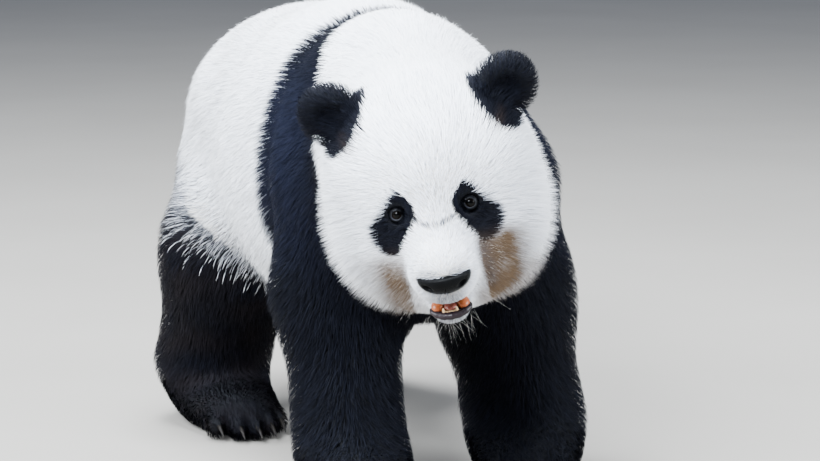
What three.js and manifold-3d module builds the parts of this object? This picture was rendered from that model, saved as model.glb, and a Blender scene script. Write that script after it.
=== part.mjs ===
// Giant panda standing on four feet, life size: millimetres, +Z up, the animal faces -Y and its
// right side is -X. Every surface is the outer surface of the coat. The body is a set of rounded
// masses that blend into each other, and each node is the stretch of that body between thin cuts.
import * as THREE from "three";
import { mergeVertices } from "three/addons/utils/BufferGeometryUtils.js";
import Module from "manifold-3d";

const wasm = await Module();
wasm.setup();

// Driving dimensions.
const gap = 0.3; // clearance between neighbouring pieces
const bodyAxis = 30; // the barrel's middle plane stands this far left of the origin
const shoulderAxis = 35; // middle plane between the forelegs
const headWidth = 320; // across the cheeks
const headCentre = [-75, -460, 548];
const headTurn = { yaw: -16, pitch: 15, roll: -10.3 }; // degrees: to its right, down, leaning
const eyeRadius = 11.5;
const eyePlace = [51.5, -101, 24]; // head frame, left eye
const eyeHollow = { centre: [51.5, -126, 24], radii: [20, 20, 17] };
const earPlace = [125, 32, 137];
const earSize = [51, 27, 54]; // half width, thickness and height
const earLean = { yaw: 10, pitch: 5, roll: 35 };
const earCup = { centre: [0, -34, -3], radii: [34, 24, 36] }; // in the ear's own leaning frame
const mouthHollow = { centre: [0, -150, -96], radii: [31, 50, 9.5] };
const tongueShape = { centre: [0, -122, -101.5], radii: [19, 21, 4] };
const cell = {
  torso: [56, 84, 54],
  neck: [50, 58, 50],
  leg: [46, 46, 58],
  paw: [38, 38, 34],
  head: [30, 30, 30],
  jaw: [21, 21, 21],
  nose: [11, 11, 11],
  tail: [34, 34, 40],
};

// The coat and the bare parts, as plain finishes.
const finish = {
  white: { color: 0xe9e5dc, roughness: 0.9, metalness: 0 },
  black: { color: 0x15171d, roughness: 0.85, metalness: 0 },
  nose: { color: 0x17171a, roughness: 0.4, metalness: 0 },
  eye: { color: 0x120d0a, roughness: 0.1, metalness: 0 },
  tongue: { color: 0x9c5a55, roughness: 0.5, metalness: 0 },
  claw: { color: 0x6a5a48, roughness: 0.45, metalness: 0 },
};

// Feet: the middle of each sole, and how far the toes turn in (degrees, + turns them to +X).
const feet = {
  foreRight: { x: -94, y: -85, side: -1, toeIn: 12 },
  foreLeft: { x: 232, y: 0, side: 1, toeIn: -20 },
  hindRight: { x: -158, y: 490, side: -1, toeIn: 8 },
  hindLeft: { x: 126, y: 690, side: 1, toeIn: -6 },
};
// A foreleg's shoulder and elbow, and its radii there and at the wrist.
const arms = {
  right: { shoulder: [-70, -10, 500], elbow: [-88, 8, 330], radii: [126, 98, 92] },
  left: { shoulder: [158, -10, 490], elbow: [202, 46, 306], radii: [118, 106, 103] },
};
// How far the fillet between each mass and the body reaches.
const soft = { neck: 100, foreleg: 50, hindleg: 75, tail: 30, head: 72 };

// Turns about z, then x, then y, so yaw, pitch and roll read as a handler would say them.
const turnOf = ({ yaw = 0, pitch = 0, roll = 0 }) => {
  const rad = THREE.MathUtils.degToRad;
  const euler = new THREE.Euler(rad(pitch), rad(roll), rad(yaw), "ZXY");
  return new THREE.Matrix4().makeRotationFromEuler(euler);
};

// The same point seen from a frame at `origin` turned by `matrix`.
const localTo = (origin, matrix) => {
  const m = matrix.elements;
  return ([x, y, z]) => {
    const a = x - origin[0];
    const b = y - origin[1];
    const c = z - origin[2];
    return [
      m[0] * a + m[1] * b + m[2] * c,
      m[4] * a + m[5] * b + m[6] * c,
      m[8] * a + m[9] * b + m[10] * c,
    ];
  };
};
const headMatrix = turnOf(headTurn);
const toHead = localTo(headCentre, headMatrix);
const fromHead = (place) => {
  const turned = new THREE.Vector3(...place).applyMatrix4(headMatrix);
  return turned.add(new THREE.Vector3(...headCentre)).toArray();
};
const headAxis = (axis) => new THREE.Vector3(...axis).applyMatrix4(headMatrix).toArray();

// Distance from a point to an ellipsoid, negative inside.
const ellipsoid = ([x, y, z], [cx, cy, cz], [rx, ry, rz]) => {
  const a = (x - cx) / rx;
  const b = (y - cy) / ry;
  const c = (z - cz) / rz;
  const near = Math.hypot(a, b, c);
  return (near * (near - 1)) / Math.max(Math.hypot(a / rx, b / ry, c / rz), 1e-9);
};

// Distance to a tapered rod with round ends, its section stretched by `squash`.
const limb = (p, from, to, startRadius, endRadius, squash = [1, 1, 1]) => {
  let along = 0;
  let length = 0;
  for (let i = 0; i < 3; i++) {
    const step = (to[i] - from[i]) / squash[i];
    along += ((p[i] - from[i]) / squash[i]) * step;
    length += step * step;
  }
  const t = THREE.MathUtils.clamp(along / length, 0, 1);
  const off = [0, 1, 2].map((i) => (p[i] - from[i] - t * (to[i] - from[i])) / squash[i]);
  return Math.hypot(...off) - THREE.MathUtils.lerp(startRadius, endRadius, t);
};

// Joins two masses with a fillet that reaches `soft`; carve takes the second away.
const blend = (a, b, soft) => {
  const h = Math.max(soft - Math.abs(a - b), 0) / soft;
  return Math.min(a, b) - (h * h * soft) / 4;
};
const carve = (a, b, soft) => -blend(-a, b, soft);

// Barrel, shoulders and withers.
const trunkField = (p) => {
  let d = ellipsoid(p, [bodyAxis - 2, 240, 505], [222, 300, 280]); // ribs
  d = blend(d, ellipsoid(p, [bodyAxis - 2, 435, 480], [222, 285, 254]), 110); // belly
  d = blend(d, ellipsoid(p, [bodyAxis, 585, 560], [228, 200, 180]), 110); // rump
  d = blend(d, ellipsoid(p, [shoulderAxis - 3, 30, 515], [198, 180, 218]), 80); // shoulders
  d = blend(d, ellipsoid(p, [shoulderAxis + 3, -60, 450], [165, 150, 165]), 80); // chest
  return blend(d, ellipsoid(p, [bodyAxis - 16, 30, 668], [62, 120, 72]), 80); // withers
};

// Neck and nape run from the shoulders into the back of the head.
const neckField = (p) => {
  const throat = limb(p, [18, -20, 562], fromHead([0, 60, 0]), 165, 145);
  const nape = limb(p, [8, 0, 620], fromHead([-6, 40, 48]), 113, 113);
  return blend(throat, nape, 80);
};

// Skull, cheeks, muzzle and bridge.
const headField = (p) => {
  const q = toHead(p);
  const m = [Math.abs(q[0]), q[1], q[2]]; // both sides are alike
  const cheekReach = headWidth / 2 - 60;
  let d = ellipsoid(q, [0, 40, 35], [131, 130, 120]); // skull
  d = blend(d, ellipsoid(q, [0, -50, 50], [85, 60, 60]), 60); // brow
  d = blend(d, ellipsoid(m, [60, 15, -54], [cheekReach, 108, 108]), 70); // cheeks
  d = blend(d, ellipsoid(q, [0, -10, -104], [104, 92, 66]), 50); // jowl
  const muzzle = limb(q, [0, -90, -45], [0, -150, -55], 64, 46, [1.08, 1, 0.95]);
  const bridge = limb(q, [0, -85, 0], [0, -155, -32], 40, 33, [1.15, 1, 0.9]);
  return blend(d, blend(muzzle, bridge, 30), 35);
};

const jawField = (p) => limb(toHead(p), [0, -60, -105], [0, -138, -118], 45, 24, [1.12, 1, 0.8]);

// A paw: a broad sole pad with five toes in a fan, turned to where the foot points.
const toeSpread = 29;
const pawFrame = (foot) => localTo([foot.x, foot.y, 0], turnOf({ yaw: foot.toeIn }));
const toePlace = (toe, reach) => [
  (toe - 2) * toeSpread,
  -reach + 9 * (toe - 2) ** 2,
  28,
];
const pawField = (p, foot, pad, reach) => {
  const q = pawFrame(foot)(p);
  let d = ellipsoid(q, pad.centre, pad.radii);
  for (let toe = 0; toe < 5; toe++) {
    d = blend(d, ellipsoid(q, toePlace(toe, reach), [19, 34, 27]), 14);
  }
  return d;
};
const forePad = { centre: [0, -32, 45], radii: [84, 100, 62] };
const hindPad = { centre: [0, -5, 45], radii: [80, 118, 58] };
const foreReach = 118;
const hindReach = 112;

const foreField = (foot, { shoulder, elbow, radii }) => (p) => {
  const [atShoulder, atElbow, atWrist] = radii;
  const wrist = [foot.x, foot.y + 20, 105];
  const upper = limb(p, shoulder, elbow, atShoulder, atElbow);
  const arm = blend(upper, limb(p, elbow, wrist, atElbow, atWrist), 80);
  return blend(arm, pawField(p, foot, forePad, foreReach), 60);
};
const hindField = (foot) => (p) => {
  const hip = [bodyAxis + 110 * foot.side, 600, 402];
  const knee = [bodyAxis + 174 * foot.side, (500 + foot.y) / 2, 328];
  const hock = [foot.x + 12 * foot.side, foot.y + 80, 115];
  const leg = blend(limb(p, hip, knee, 152, 116), limb(p, knee, hock, 116, 104), 90);
  return blend(leg, pawField(p, foot, hindPad, hindReach), 60);
};

const tailField = (p) => limb(p, [bodyAxis, 780, 520], [bodyAxis, 822, 405], 46, 40, [1, 0.85, 1]);
const torsoField = (p) => blend(trunkField(p), neckField(p), soft.neck);
const coreField = (p) => blend(torsoField(p), headField(p), soft.head);

// What grows out of a larger mass: it keeps the fillet, and stops where that has thinned out.
const grownFrom = (base, growth, fillet, reach) => (p) => {
  const d = growth(p);
  return Math.max(blend(base(p), d, fillet), d - reach);
};

// Moves a point onto the surface along the slope of the field, by less than half a cell.
const settle = (field, point, most) => {
  const probe = 0.5;
  let p = point;
  for (let pass = 0; pass < 2; pass++) {
    const d = field(p);
    const slope = p.map((v, i) => (field(p.map((w, n) => (n === i ? w + probe : w))) - d) / probe);
    const steep = slope.reduce((sum, v) => sum + v * v, 1e-6);
    const move = THREE.MathUtils.clamp(d / steep, -most, most);
    p = p.map((v, i) => v - move * slope[i]);
  }
  return p;
};

// Surface nets: one corner in each cell that the surface crosses, at the mean of its crossings.
const sculpt = (field, low, high, size) => {
  const inBox = (p) => {
    let d = field(p);
    for (let i = 0; i < 3; i++) {
      d = Math.max(d, low[i] + size[i] * 1.5 - p[i], p[i] - high[i] + size[i] * 1.5);
    }
    return d;
  };
  const count = low.map((v, i) => Math.ceil((high[i] - v) / size[i]) + 2);
  const grid = (...index) => index.map((n, i) => low[i] + n * size[i]);
  const at = (i, j, k) => (k * count[1] + j) * count[0] + i;
  const value = new Float64Array(count[0] * count[1] * count[2]);
  for (let k = 0; k < count[2]; k++) {
    for (let j = 0; j < count[1]; j++) {
      for (let i = 0; i < count[0]; i++) {
        value[at(i, j, k)] = inBox(grid(i, j, k));
      }
    }
  }
  const corner = new Map();
  const points = [];
  const cornerOf = (i, j, k) => {
    const key = at(i, j, k);
    if (corner.has(key)) return corner.get(key);
    const sum = [0, 0, 0];
    let crossings = 0;
    for (let axis = 0; axis < 3; axis++) {
      for (let side = 0; side < 4; side++) {
        const a = [0, 0, 0];
        a[(axis + 1) % 3] = side & 1;
        a[(axis + 2) % 3] = side >> 1;
        const b = a.slice();
        b[axis] = 1;
        const va = value[at(i + a[0], j + a[1], k + a[2])];
        const vb = value[at(i + b[0], j + b[1], k + b[2])];
        if (va < 0 === vb < 0) continue;
        const t = va / (va - vb);
        for (let n = 0; n < 3; n++) sum[n] += n === axis ? t : a[n];
        crossings++;
      }
    }
    const mean = sum.map((s) => s / crossings);
    points.push(settle(inBox, grid(i + mean[0], j + mean[1], k + mean[2]), Math.min(...size) / 4));
    corner.set(key, points.length - 1);
    return points.length - 1;
  };
  const faces = [];
  for (let k = 1; k < count[2] - 1; k++) {
    for (let j = 1; j < count[1] - 1; j++) {
      for (let i = 1; i < count[0] - 1; i++) {
        const here = value[at(i, j, k)] < 0;
        for (let axis = 0; axis < 3; axis++) {
          const step = [0, 0, 0];
          step[axis] = 1;
          if (here === value[at(i + step[0], j + step[1], k + step[2])] < 0) continue;
          const u = [0, 0, 0];
          const v = [0, 0, 0];
          u[(axis + 1) % 3] = 1;
          v[(axis + 2) % 3] = 1;
          const ring = [[1, 1], [0, 1], [0, 0], [1, 0]].map(([du, dv]) =>
            cornerOf(i - du * u[0] - dv * v[0], j - du * u[1] - dv * v[1], k - du * u[2] - dv * v[2]));
          if (!here) ring.reverse();
          faces.push(ring);
        }
      }
    }
  }
  const across = (a, b) => Math.hypot(...points[a].map((v, i) => v - points[b][i]));
  const triangles = faces.flatMap(([a, b, c, d]) =>
    across(a, c) <= across(b, d) ? [a, b, c, a, c, d] : [a, b, d, b, c, d]);
  const geometry = new THREE.BufferGeometry();
  geometry.setAttribute("position", new THREE.Float32BufferAttribute(points.flat(), 3));
  geometry.setIndex(triangles);
  return geometry;
};

// Between a three.js geometry and a manifold solid.
const toSolid = (geometry) => {
  const merged = geometry.clone();
  merged.deleteAttribute("normal");
  merged.deleteAttribute("uv");
  const welded = mergeVertices(merged, 1e-4);
  return new wasm.Manifold(new wasm.Mesh({
    numProp: 3,
    vertProperties: new Float32Array(welded.attributes.position.array),
    triVerts: new Uint32Array(welded.index.array),
  }));
};
const toGeometry = (solid) => {
  const mesh = solid.getMesh();
  const geometry = new THREE.BufferGeometry();
  geometry.setAttribute("position", new THREE.Float32BufferAttribute(mesh.vertProperties, 3));
  geometry.setIndex(Array.from(mesh.triVerts));
  geometry.computeVertexNormals();
  return geometry;
};

// The same skin pushed out along its normals, to cut a neighbour with clearance.
const swollen = (geometry, by) => {
  const copy = geometry.clone();
  copy.computeVertexNormals();
  const place = copy.attributes.position;
  const normal = copy.attributes.normal;
  for (let i = 0; i < place.count; i++) {
    place.setXYZ(
      i,
      place.getX(i) + by * normal.getX(i),
      place.getY(i) + by * normal.getY(i),
      place.getZ(i) + by * normal.getZ(i),
    );
  }
  return toSolid(copy);
};

// A cut is a plane through `point`; a piece keeps the side that `facing` (1 or -1) names.
const cutAt = (point, normal) => {
  const length = Math.hypot(...normal);
  const unit = normal.map((v) => v / length);
  return { unit, offset: unit[0] * point[0] + unit[1] * point[1] + unit[2] * point[2] };
};
const keep = (solid, cut, facing) =>
  solid.trimByPlane(cut.unit.map((v) => v * facing), cut.offset * facing + gap / 2);

// Only the main body of a piece is kept when a cut leaves slivers.
const mainBody = (solid) =>
  solid.decompose().reduce((best, one) => (one.volume() > best.volume() ? one : best));

const panda = new THREE.Group();
const addPiece = (name, solid, look) => {
  const mesh = new THREE.Mesh(toGeometry(mainBody(solid)), new THREE.MeshStandardMaterial(finish[look]));
  mesh.name = name;
  panda.add(mesh);
};

// Cuts along the body.
const loinCut = cutAt([0, 105, 600], [0, 1, 0.167]); // behind the shoulder band
const collarCut = cutAt([0, -110, 620], [0.15, 0.85, -0.5]); // in front of it
const skullCut = cutAt(fromHead([0, 88, 0]), headAxis([0, 1, 0]));
const elbowCut = cutAt([0, 0, 330], [0, 0, 1]);
const kneeCut = cutAt([0, 0, 275], [0, 0, 1]);
const wristCut = cutAt([0, 0, 112], [0, 0, 1]);
const ground = { unit: [0, 0, 1], offset: -gap / 2 };

// Core: trunk, shoulders, neck and head.
const coreSkin = sculpt(coreField, [-340, -520, 150], [360, 900, 890], cell.torso);
const core = toSolid(coreSkin);
const neckSkin = sculpt(coreField, [-340, -520, 250], [300, 160, 890], cell.neck);
const headLow = headCentre.map((v) => v - 245);
const headHigh = headCentre.map((v) => v + 245);
const headSkin = sculpt(coreField, headLow, headHigh, cell.head);
addPiece("trunk", keep(core, loinCut, 1), "white");
addPiece("shoulders", keep(keep(core, loinCut, -1), collarCut, 1), "black");
addPiece("neck", keep(keep(toSolid(neckSkin), collarCut, -1), skullCut, 1), "white");

// A round pod in the head frame, such as an eyeball, an eye hollow, the mouth or the tongue.
const pod = ([x, y, z], [rx, ry, rz], around, down, lean = new THREE.Matrix4()) => {
  const ball = new THREE.SphereGeometry(1, around, down);
  ball.scale(rx, ry, rz).applyMatrix4(lean).translate(x, y, z);
  ball.applyMatrix4(headMatrix).translate(...headCentre);
  return toSolid(ball);
};

// Eyes are balls at the bottom of shallow hollows.
const [eyeX, eyeY, eyeZ] = eyePlace;
const eyeBall = (side, radius) => pod([eyeX * side, eyeY, eyeZ], [radius, radius, radius], 9, 6);
const mouthPod = (less) => pod(mouthHollow.centre, mouthHollow.radii.map((v) => v - less), 12, 6);
const mouth = mouthPod(0);
let head = keep(toSolid(headSkin), skullCut, -1).subtract(mouth);
for (const side of [-1, 1]) {
  const [x, y, z] = eyeHollow.centre;
  head = head.subtract(pod([x * side, y, z], eyeHollow.radii, 8, 5));
  head = head.subtract(eyeBall(side, eyeRadius + gap));
}
addPiece("head", head, "white");
addPiece("eye_right", eyeBall(-1, eyeRadius), "eye");
addPiece("eye_left", eyeBall(1, eyeRadius), "eye");

// Ears, jaw, teeth, tongue and nose all stand on the head.
const headCutter = swollen(headSkin, gap);
const aroundHead = (place, half) => {
  const centre = fromHead(place);
  return [centre.map((v) => v - half), centre.map((v) => v + half)];
};
for (const side of [-1, 1]) {
  const lean = turnOf({ yaw: earLean.yaw * side, pitch: earLean.pitch, roll: earLean.roll * side });
  const [x, y, z] = [earPlace[0] * side, earPlace[1], earPlace[2]];
  const cup = new THREE.Vector3(...earCup.centre).applyMatrix4(lean);
  const disc = pod([x, y, z], earSize, 14, 8, lean);
  const ear = disc.subtract(pod([x + cup.x, y + cup.y, z + cup.z], earCup.radii, 10, 6, lean));
  addPiece(side < 0 ? "ear_right" : "ear_left", ear.subtract(headCutter), "black");
}
const jawSkin = sculpt(jawField, ...aroundHead([0, -100, -112], 100), cell.jaw);
let jaw = toSolid(jawSkin).subtract(mouth);
const toothRow = { count: 6, halfWidth: 15, front: -151, base: -112, height: 12 };
for (let tooth = 0; tooth < toothRow.count; tooth++) {
  const t = (2 * tooth) / (toothRow.count - 1) - 1;
  const peg = new THREE.ConeGeometry(3.2, toothRow.height, 6);
  peg.rotateX(Math.PI / 2);
  peg.translate(t * toothRow.halfWidth, toothRow.front + 5 * t * t, toothRow.base + toothRow.height / 2);
  peg.applyMatrix4(headMatrix).translate(...headCentre);
  jaw = jaw.add(toSolid(peg));
}
addPiece("lower_jaw", jaw.subtract(headCutter), "white");
addPiece("tongue", pod(tongueShape.centre, tongueShape.radii, 10, 6).intersect(mouthPod(gap)), "tongue");
const noseField = (p) => {
  const q = toHead(p);
  const m = [Math.abs(q[0]), q[1], q[2]];
  const pad = blend(
    ellipsoid(q, [0, -187, -49], [36, 19, 15]),
    ellipsoid(q, [0, -189, -57], [20, 16, 12]),
    12,
  );
  return carve(pad, ellipsoid(m, [17, -206, -57], [9, 9, 5]), 3); // nostrils
};
const noseSkin = sculpt(noseField, ...aroundHead([0, -188, -52], 56), cell.nose);
addPiece("nose", toSolid(noseSkin).subtract(headCutter), "nose");

// Tail.
const tailSkin = sculpt(
  grownFrom(coreField, tailField, soft.tail, 12),
  [bodyAxis - 110, 660, 300],
  [bodyAxis + 110, 940, 640],
  cell.tail,
);
const coreCutter = swollen(coreSkin, gap);
addPiece("tail", toSolid(tailSkin).subtract(coreCutter), "white");

// Legs: each is one mass cut at the elbow or knee and above the paw.
const claw = { length: 30, radius: 6.5, droop: 0.5 };
const clawAt = (foot, toe, reach) => {
  const horn = new THREE.ConeGeometry(claw.radius, claw.length, 5);
  horn.scale(0.75, 1, 1).rotateX(Math.PI + claw.droop);
  const [x, y, z] = toePlace(toe, reach);
  horn.translate(x, y - 38, z - 1);
  horn.rotateZ(THREE.MathUtils.degToRad(foot.toeIn)).translate(foot.x, foot.y, 0);
  return toSolid(horn);
};
const addLeg = (name, foot, field, reach, fillet, upperCut, axis, parts) => {
  const whole = grownFrom(torsoField, field, fillet, 30);
  const box = (low, high, grow) => [
    [Math.min(foot.x, bodyAxis + 130 * foot.side) - 220, foot.y - grow, low],
    [Math.max(foot.x, bodyAxis + 130 * foot.side) + 220, foot.y + grow, high],
  ];
  const ownSide = cutAt([axis, 0, 0], [1, 0, 0]);
  const stretch = (low, high, grow, size) => {
    const skin = toSolid(sculpt(whole, ...box(low, high, grow), size));
    return keep(skin, ownSide, foot.side).subtract(coreCutter);
  };
  const upper = keep(keep(stretch(180, 800, 430, cell.leg), upperCut, 1), collarCut, 1);
  addPiece(`${name}_${parts[0]}`, upper, "black");
  const lower = keep(keep(stretch(20, 460, 330, cell.leg), upperCut, -1), wristCut, 1);
  addPiece(`${name}_${parts[1]}`, lower, "black");
  const pawSkin = sculpt(whole, ...box(-90, 200, 260), cell.paw);
  const paw = keep(keep(toSolid(pawSkin), wristCut, -1), ground, 1);
  addPiece(`${name}_${parts[2]}`, paw, "black");
  const pawCutter = swollen(pawSkin, gap);
  for (let toe = 0; toe < 5; toe++) {
    addPiece(`${name}_claw_${toe + 1}`, clawAt(foot, toe, reach).subtract(pawCutter), "claw");
  }
};
const foreParts = ["upper", "forearm", "paw"];
const hindParts = ["thigh", "shank", "paw"];
for (const [side, foot] of [["right", feet.foreRight], ["left", feet.foreLeft]]) {
  const field = foreField(foot, arms[side]);
  addLeg(`foreleg_${side}`, foot, field, foreReach, soft.foreleg, elbowCut, shoulderAxis, foreParts);
}
for (const [side, foot] of [["right", feet.hindRight], ["left", feet.hindLeft]]) {
  addLeg(`hindleg_${side}`, foot, hindField(foot), hindReach, soft.hindleg, kneeCut, bodyAxis, hindParts);
}

// The origin is the middle of the standing footprint's box, on the ground.
const whole = new THREE.Box3().setFromObject(panda);
const middle = whole.getCenter(new THREE.Vector3());
panda.position.set(-middle.x, -middle.y, -whole.min.z);

export default panda;
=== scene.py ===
# A life-size giant panda that stands still, its head turned to its right and its mouth a little open.
# The body is one skin worked out from blended masses, and the coat is about three hundred thousand thin locks.
# Sizes are in millimetres in the animal's own frame: it faces -Y and its right side is -X.
import math
import bmesh
import bpy
import numpy as np
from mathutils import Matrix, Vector


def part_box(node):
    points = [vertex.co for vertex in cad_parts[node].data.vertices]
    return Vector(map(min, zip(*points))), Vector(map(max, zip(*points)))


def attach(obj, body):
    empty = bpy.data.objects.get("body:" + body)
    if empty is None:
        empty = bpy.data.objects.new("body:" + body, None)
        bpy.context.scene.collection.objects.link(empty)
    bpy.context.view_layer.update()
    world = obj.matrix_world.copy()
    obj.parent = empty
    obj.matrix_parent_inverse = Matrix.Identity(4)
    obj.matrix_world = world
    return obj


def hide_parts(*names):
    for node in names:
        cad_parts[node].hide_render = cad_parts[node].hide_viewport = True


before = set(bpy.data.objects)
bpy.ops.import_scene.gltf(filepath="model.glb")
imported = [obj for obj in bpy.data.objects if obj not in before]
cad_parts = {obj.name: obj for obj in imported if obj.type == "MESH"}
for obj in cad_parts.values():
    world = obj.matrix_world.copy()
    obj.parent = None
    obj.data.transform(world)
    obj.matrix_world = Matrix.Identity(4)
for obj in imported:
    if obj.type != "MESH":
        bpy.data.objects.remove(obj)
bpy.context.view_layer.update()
chance = np.random.default_rng(41)  # every random choice comes from it, in the order of the script


def turnOf(yaw=0, pitch=0, roll=0):
    # a turn about Z, then about X (the nose goes down), then about Y, as one matrix
    a, b, c = (math.radians(value) for value in (yaw, pitch, roll))
    aboutZ = np.array([[math.cos(a), -math.sin(a), 0], [math.sin(a), math.cos(a), 0], [0, 0, 1]])
    aboutX = np.array([[1, 0, 0], [0, math.cos(b), -math.sin(b)], [0, math.sin(b), math.cos(b)]])
    aboutY = np.array([[math.cos(c), 0, math.sin(c)], [0, 1, 0], [-math.sin(c), 0, math.cos(c)]])
    return aboutZ @ aboutX @ aboutY


head = {"centre": (-75, -460, 548), "yaw": -16, "pitch": 15, "roll": -10.3}
eye = {  # the socket is carved for the ball, and nothing grows in the opening between the lids
    "place": (51.5, -101, 24), "radius": 11.5, "opening": (8.8, 18, 8.0),
    "socket": (15, 17, 13.5), "socketAhead": 5,
}
ear = {  # the cup is the hollow in front, and the root is how far below its middle its hairs point from
    "place": (125, 32, 137), "size": (51, 27, 54), "yaw": 10, "pitch": 5, "roll": 35,
    "cup": (34, 24, 36), "cupPlace": (0, -31, -3), "root": 60.0,
}

headTurn = turnOf(head["yaw"], head["pitch"], head["roll"])
headCentre = np.array(head["centre"], float)


def fromHead(points):
    # head-local points, for which the nose points along -Y, to the animal's frame: turned, then moved
    return headCentre + np.asarray(points, float) @ headTurn.T


def headLocal(points):
    # the way back: moved, then turned
    return (np.asarray(points, float) - headCentre) @ headTurn


def onSide(place, side):
    # a place given for the left, where side is 1, or its mirror image for the right, where side is -1
    return np.array(place) * (side, 1, 1)


def earTurn(side):
    return turnOf(ear["yaw"] * side, ear["pitch"], ear["roll"] * side)


def unit(vectors):
    # vectors over their own lengths
    return vectors / np.maximum(np.linalg.norm(vectors, axis=-1, keepdims=True), 1e-9)


def middleOf(node):
    # the mean of the corners of a node's box, in metres
    low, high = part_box(node)
    return np.array((low + high) / 2)


# The eyes tell where the animal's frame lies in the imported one.
eyesMiddle = (middleOf("eye_right") + middleOf("eye_left")) / 2
framePlace = eyesMiddle * 1000 - fromHead((0, eye["place"][1], eye["place"][2]))


def toScene(points):
    # the animal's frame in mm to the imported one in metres: moved, then scaled
    return (np.asarray(points, float) + framePlace) * 0.001


def egg(p, centre, radii, turn=None):
    # ellipsoid: its scaled radius less one, times the local scale
    q = p - np.asarray(centre, np.float32)
    if turn is not None:
        q = q @ np.asarray(turn, np.float32)
    radii = np.asarray(radii, np.float32)
    near = np.sqrt(((q / radii) ** 2).sum(-1))
    slope = np.sqrt(((q / radii ** 2) ** 2).sum(-1))
    return near * (near - 1) / np.maximum(slope, 1e-9)


def limb(p, start, end, startRadius, endRadius, squash=(1, 1, 1)):
    # distance to a line less a radius that goes from one end's to the other's
    squash = np.asarray(squash, np.float32)
    start, along = np.asarray(start, np.float32), np.asarray(end, np.float32) - np.asarray(start, np.float32)
    q = p - start
    t = np.clip(((q / squash ** 2) @ along) / ((along / squash ** 2) @ along), 0, 1)
    away = (q - t[..., None] * along) / squash
    return np.sqrt((away ** 2).sum(-1)) - (startRadius + (endRadius - startRadius) * t)


def blend(a, b, soft):
    # the smaller of two, rounded where they are within soft of each other
    h = np.maximum(soft - np.abs(a - b), 0) / soft
    return np.minimum(a, b) - h * h * soft * 0.25


def carve(a, b, soft):
    # a with b taken out, the edge rounded by soft
    return -blend(-a, b, soft)


def ramp(value, low, high):
    # 0 below low, 1 above high, smooth between
    t = np.clip((value - low) / (high - low), 0, 1)
    return t * t * (3 - 2 * t)


trunkMasses = [  # centre, radii, how softly it joins the ones before
    ((28, 240, 505), (222, 300, 280), 1),
    ((28, 435, 480), (222, 285, 254), 110),
    ((30, 585, 560), (228, 200, 180), 110),
    ((32, 30, 515), (198, 180, 218), 80),
    ((38, -60, 450), (165, 150, 165), 80),
    ((14, 30, 668), (62, 120, 72), 80),
]
headMasses = [  # skull, brow, cheek and jowl in the same way, on the head; the right side mirrors the left
    ((0, 40, 35), (131, 130, 120), 1),
    ((0, -50, 50), (85, 60, 60), 60),
    ((60, 15, -54), (100, 108, 108), 70),
    ((0, -10, -104), (104, 92, 66), 50),
]
snout = {  # start, end, the radius at each, how it is squashed along x, y and z
    "muzzle": ((0, -90, -45), (0, -150, -55), 64, 46, (1.08, 1, 0.95)),
    "bridge": ((0, -85, 0), (0, -155, -32), 40, 33, (1.15, 1, 0.9)),
    "jaw": ((0, -60, -105), (0, -138, -118), 45, 24, (1.12, 1, 0.8)),
    "bridgeSoftness": 30, "muzzleSoftness": 35, "jawSoftness": 25,
}
tailLimb = ((30, 780, 520), (30, 822, 405), 46, 40, (1, 0.85, 1))
neckLimbs = [  # throat and nape: start in the shoulders, end in the head, the radius at each
    ((18, -20, 562), (0, 60, 0), 165, 145),
    ((8, 0, 620), (-6, 40, 48), 113, 113),
]
neckSoftness = 80
forePad = {"centre": (0, -32, 45), "radii": (84, 100, 62), "reach": 118}
hindPad = {"centre": (0, -5, 45), "radii": (80, 118, 58), "reach": 112}
legs = {  # three joints from the top down, the radius at each, how softly the middle one bends, the foot
    "foreRight": {
        "joints": ((-70, -10, 500), (-88, 8, 330), (-94, -65, 105)), "radii": (126, 98, 92), "bend": 80,
        "foot": (-94, -85), "toeIn": 12, "pad": forePad, "node": "foreleg_right",
    },
    "foreLeft": {
        "joints": ((158, -10, 490), (202, 46, 306), (232, 20, 105)), "radii": (118, 106, 103), "bend": 80,
        "foot": (232, 0), "toeIn": -20, "pad": forePad, "node": "foreleg_left",
    },
    "hindRight": {
        "joints": ((-80, 600, 402), (-144, 495, 328), (-170, 570, 115)), "radii": (152, 116, 104), "bend": 90,
        "foot": (-158, 490), "toeIn": 8, "pad": hindPad, "node": "hindleg_right",
    },
    "hindLeft": {
        "joints": ((140, 600, 402), (204, 595, 328), (138, 770, 115)), "radii": (152, 116, 104), "bend": 90,
        "foot": (126, 690), "toeIn": -6, "pad": hindPad, "node": "hindleg_left",
    },
}
toe = {"count": 5, "spread": 29, "arc": 9, "height": 28, "radii": (19, 34, 27), "softness": 14}
pawSoftness = 60
joins = {  # how softly each part joins the trunk and the parts before it
    "neck": 100, "foreRight": 50, "foreLeft": 50, "hindRight": 75, "hindLeft": 75, "tail": 30, "head": 72,
    "earRight": 20, "earLeft": 20,
}
partNames = ["trunk", *joins]
partNumber = {name: number for number, name in enumerate(partNames)}


def toePlace(number, reach):
    # on an arc whose middle toe is the furthest forward
    step = number - 2
    return (step * toe["spread"], -reach + toe["arc"] * step * step, toe["height"])


def pawShape(p, leg):
    # a pad and five toes side by side, in the foot's own turned frame
    q = (p - np.array((*leg["foot"], 0), np.float32)) @ turnOf(leg["toeIn"]).astype(np.float32)
    shape = egg(q, leg["pad"]["centre"], leg["pad"]["radii"])
    for number in range(toe["count"]):
        shape = blend(shape, egg(q, toePlace(number, leg["pad"]["reach"]), toe["radii"]), toe["softness"])
    return shape


def legShape(p, leg):
    # two tapered lengths blended at the elbow or the knee, then the paw
    (top, middle, end), (atTop, atMiddle, atEnd) = leg["joints"], leg["radii"]
    bones = blend(limb(p, top, middle, atTop, atMiddle), limb(p, middle, end, atMiddle, atEnd), leg["bend"])
    return blend(bones, pawShape(p, leg), pawSoftness)


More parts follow.
